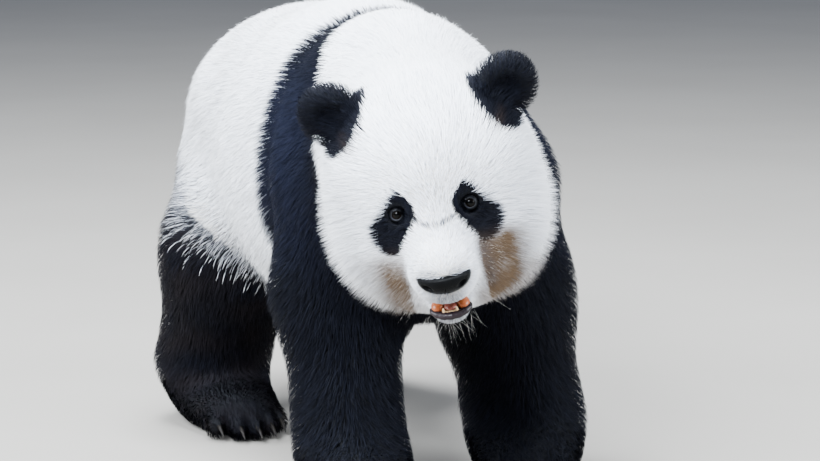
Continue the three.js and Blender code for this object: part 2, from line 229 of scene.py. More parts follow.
def heap(p, masses):
    # egg-shaped masses, each blended with the ones before it
    whole = None
    for centre, radii, soft in masses:
        mass = egg(p, centre, radii)
        whole = mass if whole is None else blend(whole, mass, soft)
    return whole


def headShape(q):
    # the head's masses, the muzzle with its bridge, and the lower jaw, with x taken without its sign
    m = np.array(q)
    m[..., 0] = np.abs(m[..., 0])
    muzzle = blend(limb(m, *snout["muzzle"]), limb(m, *snout["bridge"]), snout["bridgeSoftness"])
    face = blend(heap(m, headMasses), muzzle, snout["muzzleSoftness"])
    return blend(face, limb(m, *snout["jaw"]), snout["jawSoftness"])


def bodyParts(points):
    # every part of the body as its own distance, with the head-local points
    p = np.asarray(points, np.float32)
    q = ((p - headCentre.astype(np.float32)) @ headTurn.astype(np.float32)).astype(np.float32)
    neck = [limb(p, start, fromHead(end), *radii) for start, end, *radii in neckLimbs]
    parts = {"q": q, "trunk": heap(p, trunkMasses), "neck": blend(*neck, neckSoftness)}
    parts |= {name: legShape(p, leg) for name, leg in legs.items()}
    parts |= {"tail": limb(p, *tailLimb), "head": headShape(q)}
    for name, side in (("earRight", -1), ("earLeft", 1)):
        parts[name] = egg(q, onSide(ear["place"], side), ear["size"], earTurn(side))
    return parts


def coatSurface(parts):
    # where the tips of the coat reach: the parts blended one after the other, as the solids are
    whole = parts["trunk"]
    for name, soft in joins.items():
        whole = blend(whole, parts[name], soft)
    return whole


def shareOf(parts, reach=22):
    # how much a point belongs to each part: the nearer the surface of the part, the more
    near = np.stack([parts[name] for name in partNames], -1)
    weight = np.exp(-(near - near.min(-1, keepdims=True)) / reach)
    return weight / weight.sum(-1, keepdims=True)


def byPart(share, trunk, neck, leg, tail, head, ear):
    # the parts' values, one for all legs and one for both ears, mixed by how much a point belongs to each
    each = [trunk, neck, leg, leg, leg, leg, tail, head, ear, ear]
    return sum(share[..., number] * value for number, value in enumerate(each))


coatDepth = {"trunk": 26, "neck": 26, "leg": 22, "paw": 10, "tail": 16, "ear": 8}  # mm from skin to tips


def headDepth(q):
    # 4 mm on the muzzle, 11 on the brow, 24 at the back of the head and 20 more on the cheeks: a sum of ramps
    side, back, up = np.abs(q[..., 0]), q[..., 1], q[..., 2]
    depth = 4 + 3 * ramp(back, -165, -85) + 4 * ramp(back, -85, -30) + 13 * ramp(back, 10, 80)
    low = np.maximum(-60 - up, 0)
    return depth + 20 * ramp(side + 0.45 * low, 62, 122) * ramp(back, -115, -50) * ramp(up, 80, -10)


def depthOf(points, parts, share):
    # the coat's depth: each part's own, which on the legs thins towards the paw
    leg = coatDepth["paw"] + (coatDepth["leg"] - coatDepth["paw"]) * ramp(points[..., 2], 55, 170)
    trunk, neck, tail, ears = (coatDepth[name] for name in ("trunk", "neck", "tail", "ear"))
    return byPart(share, trunk, neck, leg, tail, headDepth(parts["q"]), ears)


mouth = {"centre": (-1, -148, -104.5), "radii": (28, 42, 10.5), "bareEdge": (5, 1.5, 1.5)}
nosePad = {
    "centre": (0, -180, -47), "radii": (37.5, 25, 22.5), "top": -42.5, "topSlope": 0.06,
    "nostril": (25, -199, -54), "nostrilRadii": (8.5, 9, 4.2), "nostrilRoll": -34,
    "groove": (0, -204, -66), "grooveRadii": (1.2, 8, 12),
    "cell": 1.4, "low": (-46, -216, -86), "high": (46, -150, -26),  # the grid of its mesh
}
soleHeight = 3  # the skin ends this far above the floor, which leaves room for the hair


def noseSurface(q):
    # half a bowl, flat on top and straight in front, with two comma nostrils and a groove below
    m = np.array(q, np.float32)
    m[:, 0] = np.abs(m[:, 0])
    shape = egg(m, nosePad["centre"], nosePad["radii"])
    back, up = m[:, 1] - nosePad["centre"][1], m[:, 2] - nosePad["top"]
    shape = carve(shape, -(up + nosePad["topSlope"] * back), 2.5)
    nostril = egg(m, nosePad["nostril"], nosePad["nostrilRadii"], turnOf(0, 0, nosePad["nostrilRoll"]))
    shape = carve(shape, nostril, 3)
    return carve(shape, egg(m, nosePad["groove"], nosePad["grooveRadii"]), 2)


def skinSurface(points):
    # the coat's surface drawn in by the coat's depth, with cupped ears, sockets, the mouth and flat soles
    parts = bodyParts(points)
    skin = coatSurface(parts) + depthOf(points, parts, shareOf(parts))
    q = parts["q"]
    for side in (-1, 1):
        lean = earTurn(side)
        cup = onSide(ear["place"], side) + lean @ np.array(ear["cupPlace"])
        skin = carve(skin, egg(q, cup, ear["cup"], lean), 6)
        socket = onSide(eye["place"], side) + (0, -eye["socketAhead"], 0)
        skin = carve(skin, egg(q, socket, eye["socket"]), 3)
    skin = carve(skin, egg(q, mouth["centre"], mouth["radii"]), 3)
    return np.maximum(skin, soleHeight - points[..., 2])


def netOver(surface, low, high, cell):
    # surface nets: one vertex in each grid cell that the surface crosses, at the mean of its crossings
    axes = [np.arange(low[i], high[i] + cell, cell, dtype=np.float32) for i in range(3)]
    grid = np.stack(np.meshgrid(*axes, indexing="ij"), -1)
    slabs = [surface(part.reshape(-1, 3)) for part in np.array_split(grid, 12, axis=0)]
    value = np.concatenate(slabs).reshape(grid.shape[:3])
    inside = value < 0
    shape = tuple(n - 1 for n in value.shape)
    count, total = np.zeros(shape, np.float32), np.zeros((*shape, 3), np.float32)
    cut = [slice(0, -1), slice(1, None)]
    for corner in np.ndindex(2, 2, 2):
        for axis in range(3):
            if corner[axis]:
                continue
            other = list(corner)
            other[axis] = 1
            a = value[tuple(cut[i] for i in corner)]
            b = value[tuple(cut[i] for i in other)]
            crossed = (a < 0) != (b < 0)
            t = np.where(crossed, a / np.where(crossed, a - b, 1), 0)
            count += crossed
            for k in range(3):
                total[..., k] += crossed * (corner[k] + (t if k == axis else 0))
    active = count > 0
    number = -np.ones(shape, np.int64)
    number[active] = np.arange(active.sum())
    points = np.array(low) + cell * (np.argwhere(active) + total[active] / count[active][:, None])
    quads = []
    for axis in range(3):
        u, v = [(1, 2), (2, 0), (0, 1)][axis]
        first, last = [slice(None)] * 3, [slice(None)] * 3
        first[axis], last[axis] = slice(0, -1), slice(1, None)
        edge = np.argwhere(inside[tuple(first)] != inside[tuple(last)])
        edge = edge[(edge[:, u] > 0) & (edge[:, v] > 0) & (edge[:, u] < shape[u]) & (edge[:, v] < shape[v])]
        corners = []
        for du, dv in ((1, 1), (0, 1), (0, 0), (1, 0)):
            place = edge.copy()
            place[:, u] -= du
            place[:, v] -= dv
            corners.append(number[tuple(place.T)])
        ring = np.stack(corners, 1)
        outward = inside[tuple(edge.T)]
        ring[~outward] = ring[~outward][:, ::-1]
        quads.append(ring)
    return points, np.concatenate(quads)


def slopeOf(surface, points, step):
    # direction in which the distance grows, from small steps both ways along each axis
    slope = np.zeros_like(points)
    for axis in range(3):
        ahead = np.zeros(3)
        ahead[axis] = step
        slope[:, axis] = (surface(points + ahead) - surface(points - ahead)) / (2 * step)
    return slope


def settle(surface, points, step, most, rounds=2):
    # moves points along the slope onto the surface, by at most a given length a round
    for _ in range(rounds):
        slope = slopeOf(surface, points, step)
        move = -surface(points)[:, None] * slope / np.maximum((slope ** 2).sum(1, keepdims=True), 1e-4)
        length = np.linalg.norm(move, axis=1, keepdims=True)
        points = points + move * np.minimum(1, most / np.maximum(length, 1e-9))
    return points


def fillMesh(name, points, corners, starts):
    # one smooth mesh from whole arrays: points in mm, corner indices, and where each face begins
    mesh = bpy.data.meshes.new(name)
    mesh.vertices.add(len(points))
    mesh.vertices.foreach_set("co", toScene(points).astype(np.float32).ravel())
    mesh.loops.add(len(corners))
    mesh.loops.foreach_set("vertex_index", corners.astype(np.int32))
    mesh.polygons.add(len(starts))
    mesh.polygons.foreach_set("loop_start", starts.astype(np.int32))
    mesh.polygons.foreach_set("use_smooth", np.ones(len(starts), bool))
    mesh.update(calc_edges=True)
    return mesh


def addPiece(name, mesh, material, replaced=()):
    # a mesh becomes a piece of the animal, in place of the plain nodes that it replaces
    mesh.materials.append(material)
    piece = bpy.data.objects.new(name, mesh)
    bpy.context.scene.collection.objects.link(piece)
    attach(piece, "root")
    if replaced:
        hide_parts(*replaced)


def putAttribute(mesh, name, values):
    # one number for each point, which a material can read
    made = mesh.attributes.new(name, "FLOAT", "POINT")
    made.data.foreach_set("value", np.asarray(values, np.float32))


def closedForm(rings, firstPole, lastPole):
    # rings of points (ring, place round it, xyz) closed at both ends by a pole: points and faces
    rows, columns = rings.shape[:2]
    points = np.concatenate([[firstPole], rings.reshape(-1, 3), [lastPole]])
    here = 1 + np.arange(rows * columns).reshape(rows, columns)
    there = np.roll(here, -1, axis=1)
    quads = np.stack([here[:-1], there[:-1], there[1:], here[1:]], -1).reshape(-1, 4)
    start = np.stack([np.zeros(columns, int), there[0], here[0]], -1)
    end = np.stack([np.full(columns, len(points) - 1), here[-1], there[-1]], -1)
    return points, quads, np.concatenate([start, end])


def meshOf(name, forms):
    # several closed forms as one mesh, faces turned outwards
    points, corners, starts = [], [], []
    offset = cornerCount = 0
    for form in forms:
        some, quads, threes = form
        points.append(some)
        corners += [(quads + offset).ravel(), (threes + offset).ravel()]
        starts.append(cornerCount + 4 * np.arange(len(quads)))
        cornerCount += 4 * len(quads)
        starts.append(cornerCount + 3 * np.arange(len(threes)))
        cornerCount += 3 * len(threes)
        offset += len(some)
    mesh = fillMesh(name, np.concatenate(points), np.concatenate(corners), np.concatenate(starts))
    shell = bmesh.new()
    shell.from_mesh(mesh)
    bmesh.ops.recalc_face_normals(shell, faces=shell.faces)
    shell.to_mesh(mesh)
    shell.free()
    return mesh


def linear(hexColour):
    # sRGB hex to linear light
    channels = [int(hexColour[i:i + 2], 16) / 255 for i in (1, 3, 5)]
    return (*[c / 12.92 if c <= 0.04045 else ((c + 0.055) / 1.055) ** 2.4 for c in channels], 1)


def perMetre(millimetres):
    # the scale of a pattern whose bumps or cells are this far apart
    return 1000 / millimetres


def addNode(tree, kind, sockets=None, **settings):
    # one node with its settings; each socket gets a number, a hex colour or the output of another node
    made = tree.nodes.new(kind)
    for key, value in settings.items():
        setattr(made, key, value)
    for key, value in (sockets or {}).items():
        if isinstance(value, bpy.types.NodeSocket):
            tree.links.new(value, made.inputs[key])
        else:
            made.inputs[key].default_value = linear(value) if isinstance(value, str) else value
    return made


def newMaterial(name, **shader):
    # a material with one Principled shader, whose sockets are named here with _ for a space
    material = bpy.data.materials.new(name)
    material.use_nodes = True
    tree = material.node_tree
    principled = tree.nodes["Principled BSDF"]
    for key, value in shader.items():
        principled.inputs[key.replace("_", " ")].default_value = value
    return material, tree, principled


factor, colourA, colourB, mixed = 0, 6, 7, 2  # a colour mix's sockets by number, as their names aren't unique


def clouded(tree, apart, dark, pale, **sockets):
    # two shades mixed by a noise on the piece's own coordinates, its bumps so many mm apart:
    # gives the coordinates, the noise and the colour
    place = addNode(tree, "ShaderNodeTexCoord").outputs["Object"]
    sockets = {"Scale": perMetre(apart), "Vector": place, **sockets}
    cloud = addNode(tree, "ShaderNodeTexNoise", sockets).outputs["Fac"]
    shade = addNode(tree, "ShaderNodeMix", {factor: cloud, colourA: dark, colourB: pale}, data_type="RGBA")
    return place, cloud, shade.outputs[mixed]


def finish(tree, shader, colour, height=None, strength=0.5, depth=0.5):
    # the colour, and a bump of the height given, its depth in mm
    tree.links.new(colour, shader.inputs["Base Color"])
    if height is not None:
        sockets = {"Strength": strength, "Distance": depth / 1000, "Height": height}
        bump = addNode(tree, "ShaderNodeBump", sockets)
        tree.links.new(bump.outputs["Normal"], shader.inputs["Normal"])


def coatMaterial(name, root, middle, tip, stainAndShade, smokeShadeAndSheen, level, **shader):
    # Guard hair: it darkens towards the root, where light is lost between the hairs, and differs lock by lock.
    # A dry keratin hair has an IOR of 1.55 and a broad, soft gloss.
    material, tree, principled = newMaterial(name, IOR=1.55, Roughness=0.6, **shader)
    read = {
        key: addNode(tree, "ShaderNodeAttribute", attribute_name=key).outputs["Fac"]
        for key in ("along", "stainAndShade", "smokeShadeAndSheen", "tone")
    }
    shades = addNode(tree, "ShaderNodeValToRGB", {"Fac": read["along"]})
    shades.color_ramp.elements[0].color = linear(root)
    shades.color_ramp.elements[1].color = linear(tip)
    shades.color_ramp.elements.new(0.45).color = linear(middle)
    colour = shades.outputs["Color"]
    # mixed in: the stain, which also paints shade on the cheeks, then the smoke: grey hairs and painted shade in
    # creases on the white, a painted sheen on the black
    for key, shade in (("stainAndShade", stainAndShade), ("smokeShadeAndSheen", smokeShadeAndSheen)):
        sockets = {factor: read[key], colourA: colour, colourB: shade}
        colour = addNode(tree, "ShaderNodeMix", sockets, data_type="RGBA").outputs[mixed]
    value = addNode(tree, "ShaderNodeMapRange", {"Value": read["tone"], "To Min": level[0], "To Max": level[1]})
    lit = addNode(tree, "ShaderNodeHueSaturation", {"Value": value.outputs[0], "Color": colour})
    finish(tree, principled, lit.outputs["Color"])
    return material


# the white hair's shades lean a little blue, painted for the cool light on it
whiteHair = coatMaterial(
    "whiteGuardHair", root="#b4b8c4", middle="#e9edf5", tip="#fbfcff", stainAndShade="#5a4631", smokeShadeAndSheen="#3a3f4c",
    level=(0.86, 1.08), Specular_IOR_Level=0.2)
# the black hair's shades lean blue, painted for the sheen on it; its smoke, a lighter blue, paints that sheen on
# the shoulder band
blackHair = coatMaterial(
    "blackGuardHair", root="#010102", middle="#05060a", tip="#0a0c14", stainAndShade="#2a211b", smokeShadeAndSheen="#181c30",
    level=(0.6, 1.5), Specular_IOR_Level=0.08, Specular_Tint=linear("#b9c2e0"))

print("helpers and hair materials are ready")

skinGrid = {"cell": 9.0, "quickCell": 12.0, "low": (-300, -720, -12), "high": (365, 890, 840)}
finerBoxes = [  # the head, then the face: where its faces are halved, and how its points settle after that
    {"halfWidth": 175, "back": 60, "low": -160, "high": 200, "step": 1.0, "most": 2.0},
    {"halfWidth": 75, "back": -95, "low": -900, "high": 55, "step": 0.7, "most": 1.2},
]


def refine(points, corners, starts, chosen):
    # each edge of the chosen faces is halved, and faces beside them take the new corners in
    mesh = fillMesh("rough", points, corners, starts)
    mesh.vertices.foreach_set("co", points.astype(np.float32).ravel())  # kept in mm
    shell = bmesh.new()
    shell.from_mesh(mesh)
    shell.faces.ensure_lookup_table()
    edges = {edge for number in np.flatnonzero(chosen) for edge in shell.faces[int(number)].edges}
    bmesh.ops.subdivide_edges(shell, edges=list(edges), cuts=1, use_grid_fill=True)
    shell.to_mesh(mesh)
    shell.free()
    newPoints = np.zeros(len(mesh.vertices) * 3, np.float32)
    newCorners = np.zeros(len(mesh.loops), np.int32)
    newStarts = np.zeros(len(mesh.polygons), np.int32)
    mesh.vertices.foreach_get("co", newPoints)
    mesh.loops.foreach_get("vertex_index", newCorners)
    mesh.polygons.foreach_get("loop_start", newStarts)
    bpy.data.meshes.remove(mesh)
    return newPoints.reshape(-1, 3).astype(float), newCorners, newStarts


def faceCentres(points, corners, starts):
    # the mean of each face's corners
    sizes = np.diff(np.append(starts, len(corners)))
    return np.add.reduceat(points[corners], starts, axis=0) / sizes[:, None]


def skinMesh():
    # a net over the skin, settled on it, whose faces are halved on the head and once more on the face
    cell = skinGrid["cell"]
    points, quads = netOver(skinSurface, skinGrid["low"], skinGrid["high"], cell)
    points = settle(skinSurface, points, 1.0, 3.0)
    print("skin net:", len(points), "points")
    corners, starts = quads.ravel(), 4 * np.arange(len(quads))
    for box in finerBoxes[:2]:
        q = headLocal(faceCentres(points, corners, starts))
        chosen = (np.abs(q[:, 0]) < box["halfWidth"]) & (q[:, 1] < box["back"])
        chosen &= (q[:, 2] > box["low"]) & (q[:, 2] < box["high"])
        points, corners, starts = refine(points, corners, starts, chosen)
        points = settle(skinSurface, points, box["step"], box["most"], 1)
    print("skin:", len(points), "points")
    return points, corners, starts


skinPoints, skinCorners, skinStarts = skinMesh()

marks = {  # mm: the shoulder band's ends behind and in front by height, the top of the hind legs' black by y
    "rearZ": (300, 360, 640, 700, 760), "rearY": (142, 176, 178, 184, 172),
    "frontZ": (530, 600, 683, 703, 732, 748, 762), "frontY": (-190, -130, -30, -2, 70, 110, 129),
    "hindY": (270, 300, 317, 340, 362, 392, 415, 470, 560, 700),
    "hindZ": (190, 262, 292, 312, 332, 358, 378, 398, 424, 470),
    "patch": (  # the outline of an eye patch seen along the head: sideways and up
        (50, 64), (38, 51), (31, 41), (33, 24), (45, 8), (57, -12), (65, -29), (77, -33), (89, -27), (97, -10),
        (96, 5), (85, 23), (69, 44), (60, 58)),
    "earEgg": (57, 75, 60),
}
edgeSpread = {"band": 2, "collar": 6, "foreleg": 9, "hindleg": 36, "ear": 2, "patch": 1.0}  # mm


def insideOutline(u, v, outline):
    # distance to the nearest straight side, positive inside: a line to the right crosses an odd number of sides
    nearest, crossings = np.full(len(u), 1e9), np.zeros(len(u), int)
    for (x0, y0), (x1, y1) in zip(outline, outline[1:] + outline[:1]):
        alongX, alongY = x1 - x0, y1 - y0
        t = np.clip(((u - x0) * alongX + (v - y0) * alongY) / (alongX ** 2 + alongY ** 2), 0, 1)
        nearest = np.minimum(nearest, np.hypot(u - x0 - t * alongX, v - y0 - t * alongY))
        crossings += ((y0 > v) != (y1 > v)) & (u < x0 + alongX * (v - y0) / (alongY or 1))
    return np.where(crossings % 2, nearest, -nearest)


def reaches(depth, spread, chanceMm):
    # inside an edge, once chance has moved it by its spread
    return depth + spread * chanceMm > 0


def hindBlack(points, parts):
    # distance inside the black of the hind legs
    y, z = points[:, 1], points[:, 2]
    low = np.interp(y, marks["hindY"], marks["hindZ"]) - z
    return np.where(parts["tail"] < 8, -120, np.minimum(y - marks["hindY"][0], low))


def blackness(points, parts, chanceMm):
    # 1 where the hair is black, else 0: each mark is a distance inside its edge, which chance moves
    q = parts["q"]
    y, z = points[:, 1], points[:, 2]
    rear = np.interp(z, marks["rearZ"], marks["rearY"])
    front = np.interp(z, marks["frontZ"], marks["frontY"])
    nearHead = parts["head"] - np.where(q[:, 1] < 180, 30, 12)
    band = np.minimum(rear - y, nearHead)
    collar = np.minimum(np.maximum(y - front, 520 - z), nearHead)
    onBand = reaches(band, edgeSpread["band"], chanceMm)
    onCollar = reaches(collar, edgeSpread["collar"], chanceMm)
    foreleg = np.minimum(np.maximum(20 - parts["foreRight"], 20 - parts["foreLeft"]), 450 - z)
    ears = [-egg(q, onSide(ear["place"], side), marks["earEgg"], earTurn(side)) for side in (-1, 1)]
    patch = np.where(q[:, 1] < -40, insideOutline(np.abs(q[:, 0]), q[:, 2], marks["patch"]) + 3, -50)
    edges = {
        "foreleg": foreleg, "hindleg": hindBlack(points, parts),
        "ear": np.minimum(np.max(ears, axis=0), parts["head"] + 14), "patch": patch,
    }
    black = [reaches(depth, edgeSpread[name], chanceMm) for name, depth in edges.items()]
    return np.max([onBand & onCollar, *black], axis=0).astype(float)


def lieOf(points, normals, parts, share):
    # the way the hair runs: back and down the flanks, down the legs, away from the nose on the head,
    # out from the root on the ears; each mixed by share, then laid in the skin
    q = parts["q"].astype(float)
    flank = np.abs(normals[:, :1])
    ones = np.ones((len(points), 1))
    back, down = np.array([[0, 1, 0]]), np.array([[0, 0, -1]])
    chest = ramp(points[:, 1], 60, -80)[:, None]
    stern = ramp(points[:, 1], 600, 760)[:, None]
    trunk = back * (1 - 0.9 * np.maximum(chest * 0.5, stern)) + down * (0.85 * flank + 0.8 * chest + 0.9 * stern)
    neck = back + down * 0.45 * flank
    paw = np.array([[0, -0.9, -0.5]])
    onPaw = ramp(points[:, 2], 110, 60)[:, None]
    leg = (down + back * 0.25) * (1 - onPaw) + paw * onPaw
    away = q - np.array([0, -176, -44.0])  # from the nose
    away /= np.maximum(np.linalg.norm(away, axis=1, keepdims=True), 1)
    away[:, 2] -= 0.6 * ramp(np.abs(q[:, 0]), 50, 120) * ramp(q[:, 1], -120, -20) * ramp(q[:, 2], 60, -20)
    away[:, 1] += 0.5 * ramp(q[:, 1], -60, 60)
    for side in (-1, 1):  # round each eye it runs away from the lids
        fromEye = q - onSide(eye["place"], side)
        gap = np.linalg.norm(fromEye, axis=1, keepdims=True)
        away += 2.5 * ramp(gap, 30, 15) * fromEye / np.maximum(gap, 1)
    each = [trunk, neck, leg, leg, leg, leg, down + back * 0.3, away @ headTurn.T]
    for side in (-1, 1):  # and on an ear away from its root
        root = onSide(ear["place"], side) - earTurn(side) @ np.array((0, 0, ear["root"]))
        out = q - root
        each.append((out / np.maximum(np.linalg.norm(out, axis=1, keepdims=True), 1)) @ headTurn.T)
    lie = sum(share[:, i:i + 1] * (way * ones) for i, way in enumerate(each))
    lie = lie - normals * (lie * normals).sum(1, keepdims=True)
    return lie / np.maximum(np.linalg.norm(lie, axis=1, keepdims=True), 1e-6)


def sway(points, size, seed):
    # a smooth random swing, mostly between -1 and 1, whose bumps are about size mm across: a sum of sine waves
    waves = np.random.default_rng(seed)
    total = np.zeros(len(points))
    for _ in range(5):
        way = waves.normal(size=3)
        way *= 2 * math.pi / (size * 2 * np.linalg.norm(way)) * waves.uniform(0.7, 1.4)
        total += np.sin(points @ way + waves.uniform(0, 6.28))
    return total / 2.6


skin = fillMesh("skin", skinPoints, skinCorners, skinStarts)
skinNormals = np.zeros(len(skinPoints) * 3, np.float32)
skin.vertices.foreach_get("normal", skinNormals)
skinNormals = skinNormals.reshape(-1, 3).astype(float)
skinParts = bodyParts(skinPoints)
skinShare = shareOf(skinParts)
skinDepth = depthOf(skinPoints, skinParts, skinShare)
skinLie = lieOf(skinPoints, skinNormals, skinParts, shareOf(skinParts, 55))
skinBlack = blackness(skinPoints, skinParts, np.zeros(len(skinPoints)))
skinBlack = np.maximum(skinBlack, ramp(-noseSurface(skinParts["q"]), -4, -1))
bareSkin = ramp(-egg(skinParts["q"], mouth["centre"], np.array(mouth["radii"]) + mouth["bareEdge"]), -1.0, 0.6)
putAttribute(skin, "black", skinBlack)
putAttribute(skin, "bare", bareSkin)
# how much of the mouth shows orange gum: none along its middle or deep inside, where it is painted dark as shade
putAttribute(skin, "unshadedGum", ramp(np.abs(skinParts["q"][:, 0]), 12, 23) * ramp(skinParts["q"][:, 1], -115, -135))


def skinMaterial():
    # Hide under a dense woolly undercoat: pale where the coat is white and slate where it is black,
    # with wet orange gum in the mouth, painted dark as shade along its middle and deep inside.
    # The bump is undercoat about 2 mm from lock to lock.
    material, tree, shader = newMaterial("woollyHide", Roughness=0.8, IOR=1.45, Specular_IOR_Level=0.2)
    _, wool, pale = clouded(tree, 2, "#cfc8be", "#f2f0ec", Detail=3, Roughness=0.6)
    black, unshadedGum, bare = (
        addNode(tree, "ShaderNodeAttribute", attribute_name=key).outputs["Fac"]
        for key in ("black", "unshadedGum", "bare"))
    colour = {"pale": pale}
    for name, share, first, second in (
            ("dark", wool, "#06070a", "#12141a"), ("coat", black, "pale", "dark"),
            ("unshadedGum", unshadedGum, "#240c0b", "#c2642a"), ("full", bare, "coat", "unshadedGum")):
        sockets = {factor: share, colourA: colour.get(first, first), colourB: colour.get(second, second)}
        colour[name] = addNode(tree, "ShaderNodeMix", sockets, data_type="RGBA").outputs[mixed]
    finish(tree, shader, colour["full"], wool, 0.5, 2)
    return material


fleshNodes = ["trunk", "shoulders", "neck", "head", "ear_right", "ear_left", "lower_jaw", "tail"]
fleshNodes += [f"foreleg_{side}_{length}" for side in ("right", "left") for length in ("upper", "forearm", "paw")]
fleshNodes += [f"hindleg_{side}_{length}" for side in ("right", "left") for length in ("thigh", "shank", "paw")]
addPiece("skin", skin, skinMaterial(), fleshNodes)
print("skin is in place")
coat = {  # spacing of the roots, length and width of a lock in mm
    "trunk": {"spacing": 3.0, "length": 41, "width": 1.2},
    "neck": {"spacing": 2.9, "length": 45, "width": 1.2},
    "leg": {"spacing": 3.52, "length": 38, "width": 1.35},
    "paw": {"spacing": 3.0, "length": 18, "width": 1.3},
    "tail": {"spacing": 3.3, "length": 34, "width": 1.4},
    "face": {"spacing": 1.5, "length": 9, "width": 0.62},
    "cheek": {"spacing": 1.95, "length": 41, "width": 0.8},
    "ear": {"spacing": 1.8, "length": 14, "width": 0.9},
    "quickThinning": 2.2,
    "clump": 9, "clumpPull": 0.1, "headPull": 0.3,  # mm across, how far its tips gather, and on the head
    "wander": 0.14, "bend": 0.2, "twist": 0.5,  # swing of the coat and of each lock, turn about its length
    "lean": 0.45, "jitter": 0.2,  # how far its shading turns to the side, and by chance
    "strays": 0.05, "cheekStrays": 0.45,  # share of the locks that stand out, and on the cheeks
    "shown": 0.72, "shownOnHead": 0.85,  # where along a lock its colour is read from the markings
    "fringe": 42, "fringeShorter": 0.25, "fringeFiner": 0.42,  # mm from the edge of the hind legs' black
}


def overSkin(key):
    # a coat value at every point of the skin, from its parts' values
    leg = coat["paw"][key] + (coat["leg"][key] - coat["paw"][key]) * ramp(skinPoints[:, 2], 60, 170)
    long = np.clip((headDepth(skinParts["q"]) - 8) / 22, 0, 1)
    onFace = coat["face"][key] + (coat["cheek"][key] - coat["face"][key]) * long
    trunk, neck, tail, ears = (coat[name][key] for name in ("trunk", "neck", "tail", "ear"))
    return byPart(skinShare, trunk, neck, leg, tail, onFace, ears)


skin.calc_loop_triangles()
threes = np.zeros(len(skin.loop_triangles) * 3, np.int32)
skin.loop_triangles.foreach_get("vertices", threes)
threes = threes.reshape(-1, 3)


def sow(threes, spacing):
    # roots spread over the skin: each triangle gets its area over spacing squared, the odd part by chance
    a, b, c = (skinPoints[threes[:, i]] for i in range(3))
    area = 0.5 * np.linalg.norm(np.cross(b - a, c - a), axis=1)
    wanted = area / spacing[threes].mean(1) ** 2
    count = np.floor(wanted + chance.random(len(threes))).astype(int)
    which = np.repeat(np.arange(len(threes)), count)
    u, v = chance.random(len(which)), chance.random(len(which))
    over = u + v > 1
    u[over], v[over] = 1 - u[over], 1 - v[over]
    return threes[which], np.stack([1 - u - v, u, v], -1)


def atRoots(values):
    # the skin's values at the roots: the three corners' values by their weights
    picked = values[rootCorners]
    return (picked * (rootWeights[..., None] if picked.ndim == 3 else rootWeights)).sum(1)


thinner = 1.0
lidGap = [egg(skinParts["q"], onSide(eye["place"], side), eye["opening"]) for side in (-1, 1)]
lidGap = np.min(lidGap, axis=0)
onSole, onNose = skinPoints[:, 2] < soleHeight + 5, noseSurface(skinParts["q"]) < -0.5
bald = onSole | onNose | (bareSkin > 0.3) | (lidGap < 0)
rootCorners, rootWeights = sow(threes, np.where(bald, 1e4, overSkin("spacing") * thinner))
roots, rootLie = atRoots(skinPoints), atRoots(skinLie)
rootDepth, rootShare = atRoots(skinDepth), atRoots(skinShare)
rootNormals = atRoots(skinNormals)
rootNormals /= np.linalg.norm(rootNormals, axis=1, keepdims=True)
rootLength = atRoots(overSkin("length"))
rootWidth = atRoots(overSkin("width")) * (thinner ** 0.7)
rootOnHead = rootShare[:, partNumber["head"]]
lockSteps = np.array([0, 0.36, 0.70, 1.0])  # where along a lock its joints and its tip are
pointsPerLock = 7
print("coat:", len(roots), "locks")


def growLines(fringe):
    # the middle line of each lock leaves the skin at the root's angle and bends over to lie along the coat,
    # reaching as high as the coat is deep: the sum of three steps, each at its own angle
    n = len(roots)
    swing = coat["wander"] * sway(roots, 55, 3) + coat["bend"] * 0.5 * chance.normal(size=n)
    across = np.cross(rootNormals, rootLie)
    lie = unit(rootLie * np.cos(swing)[:, None] + across * np.sin(swing)[:, None])
    onCheek = rootOnHead * ramp(rootDepth, 12, 24)
    stray = chance.random(n) < coat["strays"] + (coat["cheekStrays"] - coat["strays"]) * onCheek
    length = (1 - coat["fringeShorter"] * fringe) * rootLength
    length = length * np.where(stray, 1.2, chance.uniform(0.75, 1.1, n)) * (1 + 0.08 * sway(roots, 30, 5))
    standing = chance.uniform(1.0, 1.12, n) + chance.uniform(0, 0.42, n) * onCheek
    height = rootDepth * np.where(stray, standing, chance.uniform(0.9, 1.0, n) - 0.1 * onCheek)
    steep = np.arcsin(np.clip(height / length, 0.05, 0.92))  # the mean angle, which the first one nearly doubles
    first = np.minimum(steep * 1.95, 1.4)
    rise, run = np.zeros((n, 4)), np.zeros((n, 4))
    for k in range(3):
        middle = (lockSteps[k] + lockSteps[k + 1]) / 2
        angle = first * (1 - middle) + (2 * steep - first) * middle
        part = (lockSteps[k + 1] - lockSteps[k]) * length
        rise[:, k + 1] = rise[:, k] + part * np.sin(angle)
        run[:, k + 1] = run[:, k] + part * np.cos(angle)
    rise *= (height / np.maximum(rise[:, 3], 1e-6))[:, None]
    rise[:, 0] -= 1.0  # the root starts a little under the skin
    return roots[:, None] + run[..., None] * lie[:, None] + rise[..., None] * rootNormals[:, None], lie, stray


def gather(line):
    # neighbours in one jittered box draw their tips together, as a coat parts into clumps
    size = np.maximum(coat["clump"] * np.clip(rootDepth / 35, 0.25, 1), 3.5)
    scaled = roots / size[:, None] + 0.35 * np.stack([sway(roots, 20, seed) for seed in (11, 12, 13)], -1)
    box = np.floor(scaled).astype(np.int64)
    key = (box[:, 0] * 73856093) ^ (box[:, 1] * 19349663) ^ (box[:, 2] * 83492791)  # one number for each box
    _, member = np.unique(key, return_inverse=True)
    counts = np.bincount(member)
    tip = line[:, 3]
    shared = np.stack([np.bincount(member, tip[:, k]) / counts for k in range(3)], -1)[member]
    pull = unit(shared - tip) * np.minimum(np.linalg.norm(shared - tip, axis=1), size * 0.8)[:, None]
    pull -= rootNormals * (pull * rootNormals).sum(1, keepdims=True)
    strength = coat["clumpPull"] + (coat["headPull"] - coat["clumpPull"]) * rootOnHead
    return line + strength[:, None, None] * (lockSteps ** 2)[None, :, None] * pull[:, None], tip


